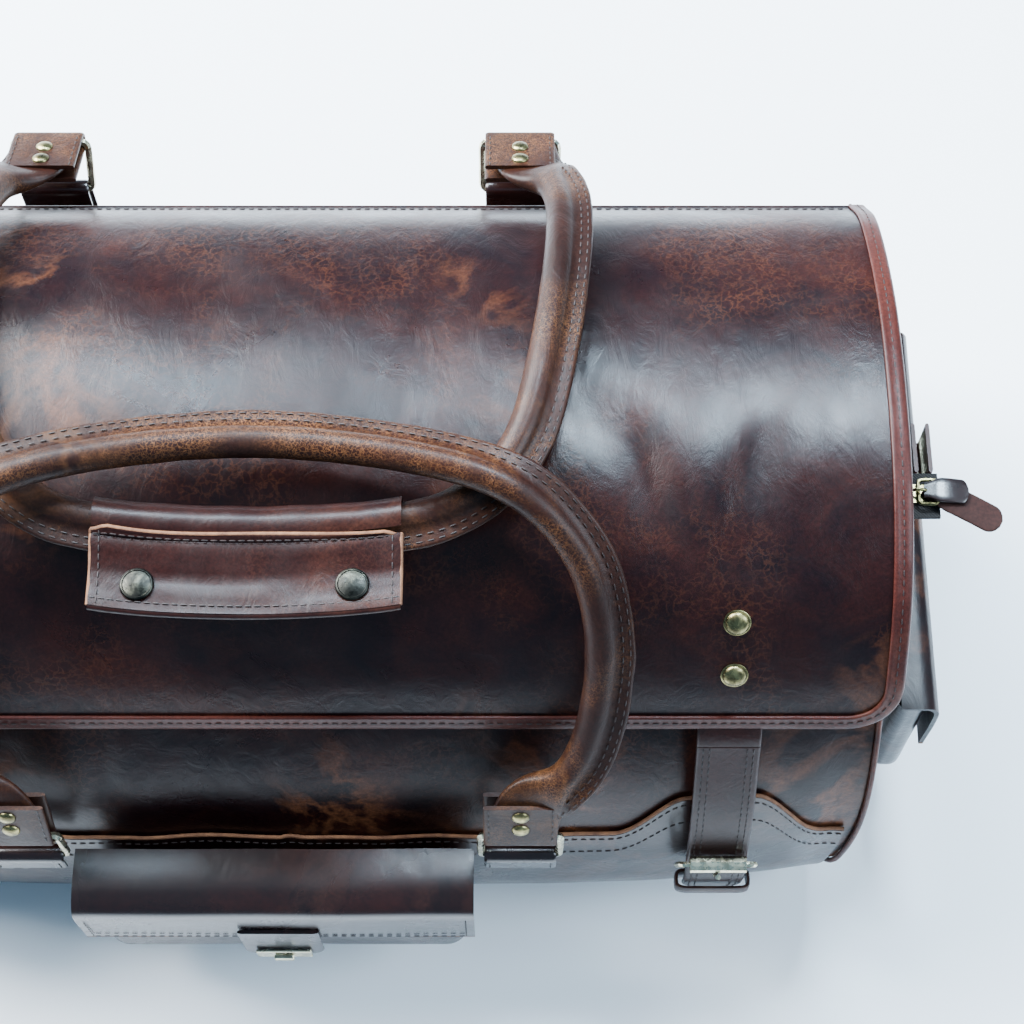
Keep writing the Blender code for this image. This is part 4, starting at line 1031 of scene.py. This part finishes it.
def keep_keeper(name):
    low, high = (Vector(c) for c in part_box(f"keeper_{name}"))
    centre = (low + high) / 2
    half = (high - low) / 2
    sections = []
    rounds = 24
    for k in range(rounds):
        angle = math.tau * k / rounds
        c, s = math.cos(angle), math.sin(angle)
        shape = Vector((math.copysign(abs(c) ** 0.28, c), math.copysign(abs(s) ** 0.45, s), 0.0))
        section = []
        for inset, height in KEEPER_PROFILE:
            section.append(
                centre
                + Vector((shape.x * (half.x - inset), shape.y * (half.y - inset), height * half.z))
            )
        sections.append(section)
    loop = loft(f"keeper_loop_{name}", sections, STRAPPING, ring=True)
    keep(loop, f"strap_{name}", "body_leather", f"keeper_{name}")


def swap_material(name, surface):
    mesh = nodes[name].data
    mesh.materials.clear()
    mesh.materials.append(surface)


# ---------------------------------------------------------------- rings and handles


def ring_up(lean):
    angle = math.radians(lean)
    return Vector((0.0, math.sin(angle), math.cos(angle)))


def mirrored(half):
    right = [Vector(p) for p in half]
    left = [Vector((-p.x, p.y, p.z)) for p in right]
    return left + right[-2::-1]


def handle_frames(bar, half, step):
    """(point, ahead, outward, up, flatness) along a handle from its left ring to its right one."""
    start = (Vector(half[0]) - Vector((RING_X, *bar))).normalized()
    first = Vector((RING_X, *bar)) + start * (RING_WIRE + HANDLE_CLEAR)
    route = resampled(spline(mirrored([tuple(first)] + list(half)), 14), step)
    middle = sum(route, Vector()) / len(route)
    total = sum((b - a).length for a, b in zip(route, route[1:]))
    found = []
    travelled = 0.0
    for i, point in enumerate(route):
        if i:
            travelled += (point - route[i - 1]).length
        ahead = (route[min(i + 1, len(route) - 1)] - route[max(i - 1, 0)]).normalized()
        near_end = min(travelled, total - travelled)
        flat = 1 - smoothstep((near_end - END_LENGTH + 0.006) / 0.026)
        side = 1 if point.x > 0 else -1
        outward = point - middle
        outward.z = 0.0
        outward = outward * (1 - flat) + Vector((side, 0.0, 0.0)) * flat * outward.length
        outward = (outward - ahead * outward.dot(ahead)).normalized()
        up = ahead.cross(outward)
        if up.z < 0:
            up = -up
        found.append((point, ahead, outward, up, flat))
    return found


def handle_shape():
    """(outward, up) section: a rolled core with a stitched wing on its outer side."""
    wing = HANDLE_RADIUS + WING
    shape = [(wing - 0.0004, 0.0012), (wing - 0.0014, 0.0016), (wing - 0.0050, 0.0017)]
    for k in range(23):
        angle = math.radians(22 + 316 * k / 22)
        shape.append((HANDLE_RADIUS * math.cos(angle), HANDLE_RADIUS * math.sin(angle)))
    shape += [(wing - 0.0050, -0.0017), (wing - 0.0014, -0.0016), (wing - 0.0004, -0.0012), (wing, 0.0)]
    return shape


def build_handle(name, bar_top, half):
    shape = handle_shape()
    frames = handle_frames(bar_top, half, 0.0028)
    sections = []
    rows = {key: [] for key in ("up_in", "up_out", "down_in", "down_out")}
    for i, (point, _, outward, up, flat) in enumerate(frames):
        lumpy = 1 + 0.035 * noise.noise(Vector((i * 0.21, 0.0, len(name))))
        section = []
        for a, b in shape:
            angle = math.atan2(b, a)
            fa = 0.0165 * math.copysign(abs(math.cos(angle)) ** 0.5, math.cos(angle))
            fb = 0.0024 * math.copysign(abs(math.sin(angle)) ** 0.6, math.sin(angle))
            ra, rb = a * lumpy, b * lumpy
            section.append(point + outward * (ra + (fa - ra) * flat) + up * (rb + (fb - rb) * flat))
        sections.append(section)
        for key, way in (("up", 1), ("down", -1)):
            for place_name, reach in (("in", 0.0100), ("out", 0.0132)):
                reach_here = reach * (1 - flat) + (0.0105 if place_name == "in" else 0.0137) * flat
                high = 0.0024 if place_name == "in" else 0.0019
                lift = (high * (1 - flat) + 0.0026 * flat) * way
                rows[f"{key}_{place_name}"].append((point + outward * reach_here + up * lift, up * way))
    keep(loft(f"{name}_rolled", sections, ROLLED), name, "handle_leather", name)
    made = stitches(f"{name}_stitching", [normals_along(row, HANDLE_STITCH_PITCH) for row in rows.values()])
    keep(made, name, "handle_leather")
    for side, side_name in SIDES:
        bar = Vector((side * RING_X, *bar_top))
        first = Vector(half[0])
        toward = Vector((0.0, first.y - bar.y, first.z - bar.z)).normalized()
        along = ALONG_X
        leg = END_LENGTH + 0.004
        loop = build_fold(
            f"{name}_end_{side_name}", bar, along, toward, TAB_WIDTH,
            RING_WIRE + FOLD_CLEAR, 0.0023, leg, ROLLED,
        )
        keep(loop, name, "handle_leather")
        normal = along.cross(toward)
        edge_rows = []
        for way in (-1, 1):
            for across_x in (-0.0150, 0.0150):
                row = []
                for k in range(13):
                    far = toward * (0.002 + leg * 0.95 * k / 12)
                    row.append((bar + far + normal * way * 0.0050 + along * across_x, normal * way))
                edge_rows.append(normals_along(row, STITCH_PITCH))
        keep(stitches(f"{name}_end_stitching_{side_name}", edge_rows), name, "handle_leather")
        for k, reach in enumerate((0.0125, 0.0235)):
            for way, face in ((1, "outer"), (-1, "inner")):
                base = bar + toward * reach + normal * way * 0.0048
                cap_name = f"{name}_rivet_{side_name}_{k}_{face}"
                cap = turned(cap_name, base, normal * way, END_RIVET_RINGS, ANTIQUE)
                keep(cap, name, "antique_brass")


def build_ring_tabs(prefix, bar, leg, legs_to):
    for side, name in SIDES:
        centre = Vector((side * RING_X, *bar))
        along = ALONG_X
        tab = build_fold(
            f"{prefix}_tab_leather_{name}", centre, along, legs_to, TAB_WIDTH,
            RING_WIRE + FOLD_CLEAR, 0.0021, leg, DARK,
        )
        keep(tab, "bag", "body_leather", f"{prefix}_tab_{name}")
        out = along.cross(legs_to)
        outward = -1 if prefix == "front" else 1
        out = out if out.y * outward > 0 else -out
        rows = []
        for across_x in (-0.0148, 0.0148):
            row = [
                (centre + legs_to * leg * k / 8 + out * 0.0050 + along * across_x, out) for k in range(9)
            ]
            rows.append(normals_along(row, STITCH_PITCH))
        keep(stitches(f"{prefix}_tab_stitching_{name}", rows), "bag", "body_leather")
        swap_material(f"{prefix}_ring_{name}", PALE_BRASS)


def grip_route():
    route = resampled(spline(mirrored(REAR_HANDLE), 14), 0.0025)
    return [p for p in route if abs(p.x) <= GRIP_HALF_LENGTH]


def build_grip():
    """The grip wrap, its snapped-down layer with a wavy cut edge, border stitches and snap caps."""
    route = grip_route()
    thick = 0.0020
    radius = HANDLE_RADIUS + 0.0006 + thick / 2
    flat, over_wing, past_wing, reach = 0.0013, 0.0042, 0.02025, 0.041
    outer, inner = [], []
    for point in route:
        line = [(-reach, -flat), (-reach + 0.007, -flat), (-past_wing, -flat)]
        line.append((-past_wing + 0.0045, -over_wing))
        for k in range(33):
            angle = math.radians(215 + 275 * k / 32)
            line.append((radius * math.cos(angle), radius * math.sin(angle)))
        crease = 0.0004 * noise.noise(Vector((point.x * 70.0, 0.0, 0.0)))
        sides = [offset_line(line, way * thick / 2 + crease) for way in (1, -1)]
        for rows, side in zip((outer, inner), sides):
            rows.append([point + Vector((0.0, y, z)) for y, z in side])
    keep(sheet("grip_wrap_leather", outer, inner, GRIP), "rear_handle", "handle_leather", "grip_wrap")

    across_wing = []
    for k in range(9):
        rise = smoothstep((k - 5) / 3)
        across_wing.append((-reach + 0.025 * k / 8, flat + (over_wing - flat) * rise))
    across_wing.append((-0.0130, 0.0058))
    lap = radius + thick + 0.0002

    def layer_line(x):
        """The layer's section: flat, over the wing and up the wrap's side to its waving free edge."""
        share = (x + GRIP_HALF_LENGTH) / (2 * GRIP_HALF_LENGTH)
        corner = 1 - smoothstep(min(share, 1 - share) / 0.06)
        last = 122 + 14 * share + 4 * math.sin(share * 8.0) + 16 * corner
        turn = [math.radians(148 + (last - 148) * k / 7) for k in range(8)]
        return across_wing + [(lap * math.cos(a), lap * math.sin(a)) for a in turn]

    outer, inner, edge, border = [], [], [], [[], []]
    for point in route:
        line = layer_line(point.x)
        upper_side, lower_side = (
            [point + Vector((0.0, y, z)) for y, z in offset_line(line, way * thick / 2)] for way in (1, -1)
        )
        for k, spot in enumerate(upper_side):
            spot.z += 0.0005 * noise.noise(Vector((point.x * 30.0, k * 0.5, 2.0)))
        outer.append(upper_side)
        inner.append(lower_side)
        edge.append((upper_side[-1] + lower_side[-1]) / 2)
        border[0].append((upper_side[-5] + Vector((0.0, -0.0004, 0.0004)), Vector((0.0, -0.5, 0.87))))
        border[1].append((upper_side[0] + Vector((0.0, 0.0036, 0.0002)), Vector((0.0, 0.0, 1.0))))
    keep(sheet("grip_layer_leather", outer, inner, GRIP), "grip_flap", "handle_leather", "grip_flap")
    for end, shift in ((0, 0.0036), (-1, -0.0036)):
        side_row = [p + Vector((shift, 0.0, 0.0002)) for p in outer[end]]
        border.append([(p, Vector((0.0, 0.0, 1.0))) for p in side_row])
    rim = [(p[0] + p[1]) / 2 for p in zip(outer[0], inner[0])]
    rim_end = [(p[0] + p[1]) / 2 for p in zip(outer[-1], inner[-1])]
    keep(
        tube("grip_layer_cut_edge", rim + edge[1:-1] + rim_end[::-1], 0.00105, RAW, sides=8),
        "grip_flap", "handle_leather",
    )
    rows = [normals_along(row, GRIP_STITCH_PITCH) for row in border]
    keep(stitches("grip_layer_stitching", rows), "grip_flap", "handle_leather")
    fold = [p + Vector((0.0, -reach + 0.0002, 0.0)) for p in route]
    keep(tube("grip_front_fold", fold, 0.0019, GRIP, sides=12), "rear_handle", "handle_leather")
    for name in ("left", "right"):
        low, high = (Vector(c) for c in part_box(f"grip_snap_{name}"))
        base = Vector(((low.x + high.x) / 2, (low.y + high.y) / 2, low.z + 0.0001))
        rings = [(0.0074, 0.0), (0.0075, 0.0007), (0.0070, 0.0013), (0.0064, 0.0014), (0.0060, 0.0010)]
        rings += [(0.0055, 0.0011), (0.0042, 0.0014), (0.0022, 0.0016), (0.0001, 0.0017)]
        cap = turned(f"grip_snap_cap_{name}", base, (0, 0, 1), rings, TARNISHED)
        keep(cap, "grip_flap", "antique_brass", f"grip_snap_{name}")


# ---------------------------------------------------------------- pockets and hardware


def soft_pouch(name, node_name):
    """A sewn pouch with soft rounded corners: open at the top, its outer face a little crowned."""
    low, high = (Vector(c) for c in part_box(node_name))
    centre, half = (low + high) / 2, (high - low) / 2
    levels = 26
    corner = min(half.x, half.y) * 0.8
    around = []
    for quarter, (sx, sy) in enumerate(((1, 1), (-1, 1), (-1, -1), (1, -1))):
        for k in range(9):
            angle = math.pi / 2 * (quarter + k / 8)
            x = sx * (half.x - corner) + corner * math.cos(angle)
            around.append((x, sy * (half.y - corner) + corner * math.sin(angle)))
        nx, ny = ((-1, 1), (-1, -1), (1, -1), (1, 1))[quarter]
        start = around[-1]
        if quarter % 2 == 0:
            stop = (nx * (half.x - corner), ny * half.y)
        else:
            stop = (nx * half.x, ny * (half.y - corner))
        for k in range(1, 16):
            t = k / 16
            around.append((start[0] + (stop[0] - start[0]) * t, start[1] + (stop[1] - start[1]) * t))

    def loop(inset, z):
        found = []
        for a, b in around:
            scale_x, scale_y = (half.x - inset) / half.x, (half.y - inset) / half.y
            dent = 0.0010 * noise.noise(Vector((a * 25.0, b * 25.0, z * 30.0))) - 0.0010
            found.append(Vector((centre.x + a * scale_x, centre.y + b * scale_y, z)))
            found[-1] += (Vector((centre.x, centre.y, z)) - found[-1]).normalized() * -dent * 0.8
        return found

    sections = []
    for k in range(7):
        angle = math.pi / 2 * k / 6
        sections.append(loop(0.006 * (1 - math.sin(angle)), low.z + 0.006 * (1 - math.cos(angle))))
    for k in range(1, levels + 1):
        sections.append(loop(0.0, low.z + 0.006 + (high.z - low.z - 0.006) * k / levels))
    sections.append(loop(POUCH_WALL, high.z))
    sections.append(loop(POUCH_WALL, low.z + 0.008))
    keep(loft(name, sections, LOWER), "bag", "body_leather", node_name)


def profile_sheet(name, line, thickness, ends, surface, columns=60):
    """A sheet whose section is the line, straight along X, with a slightly waved face."""
    outer, inner = [], []
    for (ao, zo), (ai, zi) in zip(offset_line(line, thickness / 2), offset_line(line, -thickness / 2)):
        row_out, row_in = [], []
        for k in range(columns + 1):
            t = ends[0] + (ends[1] - ends[0]) * k / columns
            wave = 0.0004 * noise.noise(Vector((t * 18.0, zo * 25.0, 5.0)))
            row_out.append(Vector((t, ao - wave, zo)))
            row_in.append(Vector((t, ai - wave, zi)))
        outer.append(row_out)
        inner.append(row_in)
    return sheet(name, outer, inner, surface)


def smooth_line(points):
    return [(p.y, p.z) for p in spline([(0.0, a, b) for a, b in points], 8)]


def build_front_pocket():
    soft_pouch("front_pocket_leather", "front_pocket")
    low, high = (Vector(c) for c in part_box("pocket_flap"))
    front = low.y + 0.0012
    top = POCKET_FLAP_TOP_Z
    line = smooth_line(
        (
            (POCKET_FLAP_BACK_Y, top), ((POCKET_FLAP_BACK_Y + front) / 2, top + 0.0010), (front + 0.008, top),
            (front + 0.002, top - 0.003), (front, top - 0.009),
            (front - 0.0002, (top + low.z) / 2), (front, low.z),
        )
    )
    flap = profile_sheet("pocket_flap_leather", line, 0.0024, (low.x, high.x), DARK)
    keep(flap, "pocket_flap", "body_leather", "pocket_flap")
    out = Vector((0.0, -1.0, 0.0))
    face_y = front - 0.0012 - 0.0006
    across = [low.x + 0.004 + (high.x - low.x - 0.008) * k / 50 for k in range(51)]
    rows = [[(Vector((x, face_y, low.z + 0.0042)), out) for x in across]]
    heights = [low.z + 0.004 + (top - 0.012 - low.z - 0.004) * k / 12 for k in range(13)]
    for x in (low.x + 0.0042, high.x - 0.0042):
        rows.append([(Vector((x, face_y, z)), out) for z in heights])
    spaced = [normals_along(row, STITCH_PITCH) for row in rows]
    keep(stitches("pocket_flap_stitching", spaced), "pocket_flap", "body_leather")
    edge = [Vector((low.x + (high.x - low.x) * k / 60, front, low.z)) for k in range(61)]
    keep(tube("pocket_flap_cut_edge", edge, 0.0012, RAW, sides=8), "pocket_flap", "body_leather")

    t_low, t_high = (Vector(c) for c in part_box("lock_tongue"))
    middle_y = (t_low.y + t_high.y) / 2
    path = [Vector((0.0, middle_y, t_high.z + (t_low.z - t_high.z) * k / 24)) for k in range(25)]
    normals = [out] * 25

    def tongue_taper(t):
        return 1.0 if t < 0.82 else math.sqrt(max(1 - ((t - 0.82) / 0.18) ** 2 * 0.55, 0.1))

    tongue = rounded_strip(
        "lock_tongue_leather", path, normals, 0.020, 0.0020, DARK, ALONG_X, tongue_taper
    )
    keep(tongue, "pocket_flap", "trim_leather", "lock_tongue")
    for name in ("lock_plate", "lock_button", "lock_base"):
        swap_material(name, PALE_BRASS)


def build_end_pocket(side, name):
    soft_pouch(f"end_pocket_leather_{name}", f"end_pocket_{name}")
    low, high = (Vector(c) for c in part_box(f"end_pocket_flap_{name}"))
    out_x = max(abs(low.x), abs(high.x)) - 0.0014
    hinge_x = min(abs(low.x), abs(high.x))
    hinge_z = END_POCKET_HINGE_Z
    line = smooth_line(
        (
            (hinge_x, hinge_z), (out_x - 0.006, hinge_z + 0.0005), (out_x - 0.0015, hinge_z - 0.003),
            (out_x, hinge_z - 0.010), (out_x + 0.0003, (hinge_z + low.z) / 2), (out_x, low.z),
        )
    )
    outer, inner, edge, row = [], [], [], []
    columns = 80
    for (xo, zo), (xi, zi) in zip(offset_line(line, 0.0012), offset_line(line, -0.0012)):
        down = smoothstep((hinge_z - 0.012 - zo) / 0.03)
        row_out, row_in = [], []
        for k in range(columns + 1):
            t = k / columns
            y = low.y + (high.y - low.y) * t
            scallop = 0.004 * down * (math.sin(t * math.pi * 3.0 + 0.6) * 0.5 + 0.5)
            wave = 0.0006 * noise.noise(Vector((y * 30.0, zo * 25.0, 8.0))) * down
            row_out.append(Vector((side * (xo + wave), y, zo + scallop)))
            row_in.append(Vector((side * (xi + wave), y, zi + scallop)))
        outer.append(row_out)
        inner.append(row_in)
    flap = sheet(f"end_pocket_flap_leather_{name}", outer, inner, MAIN)
    keep(flap, f"end_pocket_flap_{name}", "body_leather", f"end_pocket_flap_{name}")
    for a, b in zip(outer[-1], inner[-1]):
        edge.append((a + b) / 2)
    bead = tube(f"end_pocket_flap_edge_{name}", edge, 0.0013, RAW, sides=8)
    keep(bead, f"end_pocket_flap_{name}", "body_leather")
    for spot in outer[-6]:
        row.append((spot + Vector((side * 0.0002, 0.0, 0.0)), Vector((side, 0.0, 0.0))))
    keep(
        stitches(f"end_pocket_flap_stitching_{name}", [normals_along(row, STITCH_PITCH)]),
        f"end_pocket_flap_{name}", "body_leather",
    )


def build_d_ring(side, name):
    swap_material(f"d_ring_{name}", PALE_BRASS)
    bar = Vector((side * 0.3140, 0.0, 0.198))
    along, legs_to = Vector((0.0, 1.0, 0.0)), Vector((0.0, 0.0, 1.0))
    tab = build_fold(f"d_ring_tab_leather_{name}", bar, along, legs_to, 0.0262, 0.0035, 0.0020, 0.020, EDGING)
    keep(tab, "bag", "trim_leather", f"d_ring_tab_{name}")
    rows = []
    out = Vector((side, 0.0, 0.0))
    for y in (-0.0100, 0.0100):
        row = [(bar + Vector((side * 0.0047, y, 0.002 + 0.0175 * k / 8)), out) for k in range(9)]
        rows.append(normals_along(row, STITCH_PITCH))
    keep(stitches(f"d_ring_tab_stitching_{name}", rows), "bag", "trim_leather")


def build_mouth():
    """Mouth panels, zip tapes with their teeth, slider and folded leather pull."""
    for name, way, shoulder in (("front", -1, FRONT_SHOULDER), ("rear", 1, REAR_SHOULDER)):
        start = (way * (shoulder[0] * (1 - END_TAPER / 2) - LEATHER / 2), shoulder[1] + 0.0014)
        tape_low, tape_high = (Vector(c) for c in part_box(f"zip_tape_{name}"))
        inner_y = (tape_low.y if way < 0 else tape_high.y) + way * 0.0012
        line = []
        for k in range(21):
            t = k / 20
            y = start[0] + (inner_y - start[0]) * t
            line.append((y, start[1] + (ZIP_Z - start[1]) * t + MOUTH_BOW * math.sin(math.pi * t)))
        ends = (-MOUTH_HALF_LENGTH, MOUTH_HALF_LENGTH)
        panel = profile_sheet(f"mouth_leather_{name}", line, 0.0016, ends, DARK, 120)
        keep(panel, f"mouth_{name}", "body_leather", f"mouth_{name}")
        swap_material(f"zip_tape_{name}", TAPE)
        keep(zip_teeth(name, way), f"mouth_{name}", "antique_brass")
    swap_material("zip_slider", ANTIQUE)
    swap_material("zip_bail", ANTIQUE)

    slider_low, slider_high = (Vector(c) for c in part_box("zip_slider"))
    centre = (slider_low + slider_high) / 2
    arch = []
    for k in range(17):
        angle = math.pi * k / 16
        z = slider_high.z + 0.0006 + 0.0040 * math.sin(angle)
        arch.append((centre.x + 0.0042 * math.cos(angle), centre.y, z))
    keep(tube("zip_slider_bridge", arch, 0.0008, ANTIQUE, sides=8), "zip_slider", "antique_brass")

    bail_low, bail_high = (Vector(c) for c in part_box("zip_bail"))
    bar = Vector((bail_high.x - 0.0009, centre.y, (bail_low.z + bail_high.z) / 2))
    pull_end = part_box("zip_pull")[1][0]
    for kind, surface, sweep, length, lift, half_width in (
        ("grain", DARK, -0.06, pull_end - bar.x - 0.008, 0.0017, 0.0060),
        ("flesh", FLESH, -0.50, pull_end - bar.x + 0.010, -0.0012, 0.0068),
    ):
        heading = Vector((math.cos(sweep), math.sin(sweep), 0.0))
        path, count = [], 30
        for k in range(count + 1):
            t = k / count
            root = smoothstep(t / 0.25)
            path.append(
                bar + heading * (length * t - 0.005)
                + Vector((-0.0012 * (1 - root), 0.0, lift * (0.6 + 0.4 * root) + 0.0008 * math.sin(t * 4.0)))
            )
        across = Vector((-heading.y, heading.x, 0.0))

        def pull_taper(t):
            neck = 0.62 + 0.38 * smoothstep(t / 0.35)
            return neck if t < 0.84 else neck * math.sqrt(max(1 - ((t - 0.84) / 0.16) ** 2, 0.05))

        strip = rounded_strip(
            f"zip_pull_{kind}_half", path, [UP] * (count + 1), half_width, 0.0015, surface, across,
            pull_taper,
        )
        keep(strip, "zip_pull", "trim_leather", *(("zip_pull",) if kind == "grain" else ()))
    fold = build_fold(
        "zip_pull_fold", bar, Vector((0, 1, 0)), Vector((1, 0, 0)), 0.0090, 0.0019, 0.0013, 0.007, DARK
    )
    keep(fold, "zip_pull", "trim_leather")


def zip_teeth(name, way):
    """One half of the zip's teeth, each a small rounded block on its tape's inner edge."""
    verts, faces = [], []
    inner = ZIP_Y + way * TOOTH_NEAR
    outer = ZIP_Y + way * TOOTH_FAR
    shift = 0.25 * TOOTH_PITCH * way
    for k in range(-TOOTH_COUNT // 2, TOOTH_COUNT // 2):
        x = k * TOOTH_PITCH + shift
        low_x, high_x = x - TOOTH_HALF_WIDTH, x + TOOTH_HALF_WIDTH
        start = len(verts)
        for z, narrow in TOOTH_LAYERS:
            near, far = inner + way * narrow, outer - way * narrow
            verts += [
                Vector((low_x + narrow, near, z)), Vector((high_x - narrow, near, z)),
                Vector((high_x - narrow, far, z)), Vector((low_x + narrow, far, z)),
            ]
        for r in range(3):
            for j in range(4):
                n = (j + 1) % 4
                a, b = start + r * 4 + j, start + r * 4 + n
                faces.append((a, b, b + 4, a + 4))
        faces.append((start + 3, start + 2, start + 1, start))
        faces.append((start + 12, start + 13, start + 14, start + 15))
    return link_mesh(f"zip_teeth_{name}", verts, faces, ANTIQUE)


# ---------------------------------------------------------------- stage


def area_light(name, location, target, size, power, colour):
    data = bpy.data.lights.new(name, "AREA")
    data.shape = "RECTANGLE"
    data.size, data.size_y = size
    data.energy = power
    data.color = colour
    made = bpy.data.objects.new(name, data)
    bpy.context.scene.collection.objects.link(made)
    made.location = location
    made.rotation_euler = (Vector(target) - Vector(location)).to_track_quat("-Z", "Y").to_euler()


def build_stage():
    bpy.ops.mesh.primitive_plane_add(size=8.0, location=(0.0, 0.0, -0.0002))
    floor = bpy.context.object
    floor.name = "floor"
    floor.data.materials.append(floor_with_painted_front_shade())
    world = bpy.data.worlds.new("studio")
    bpy.context.scene.world = world
    world.use_nodes = True
    background = world.node_tree.nodes["Background"]
    background.inputs["Color"].default_value = SKY
    background.inputs["Strength"].default_value = SKY_STRENGTH
    for light in LIGHTS:
        area_light(*light)


def build_camera():
    """Above the bag and a little in front of it, looking down at its right half."""
    data = bpy.data.cameras.new("camera")
    data.lens = LENS
    data.sensor_width = SENSOR
    made = bpy.data.objects.new("camera", data)
    bpy.context.scene.collection.objects.link(made)
    target = Vector(CAMERA_TARGET)
    made.location = CAMERA_PLACE
    made.rotation_euler = (target - made.location).to_track_quat("-Z", "Y").to_euler()
    bpy.context.scene.camera = made


build_stage()
build_camera()
build_body()
for way, side_name in SIDES:
    build_end(way, side_name)
    build_end_pocket(way, side_name)
    build_d_ring(way, side_name)
build_flap()
build_straps()
front_top = Vector((0.0, *FRONT_TAB_BAR)) + ring_up(FRONT_RING_LEAN) * RING_RISE
rear_top = Vector((0.0, *REAR_TAB_BAR)) + ring_up(REAR_RING_LEAN) * RING_RISE
build_handle("front_handle", (front_top.y, front_top.z), FRONT_HANDLE)
build_handle("rear_handle", (rear_top.y, rear_top.z), REAR_HANDLE)
build_ring_tabs("front", FRONT_TAB_BAR, 0.0095, Vector((0.0, 0.0, -1.0)))
build_ring_tabs("rear", REAR_TAB_BAR, 0.026, Vector((0.0, 0.0, -1.0)))
build_grip()
build_front_pocket()
build_mouth()
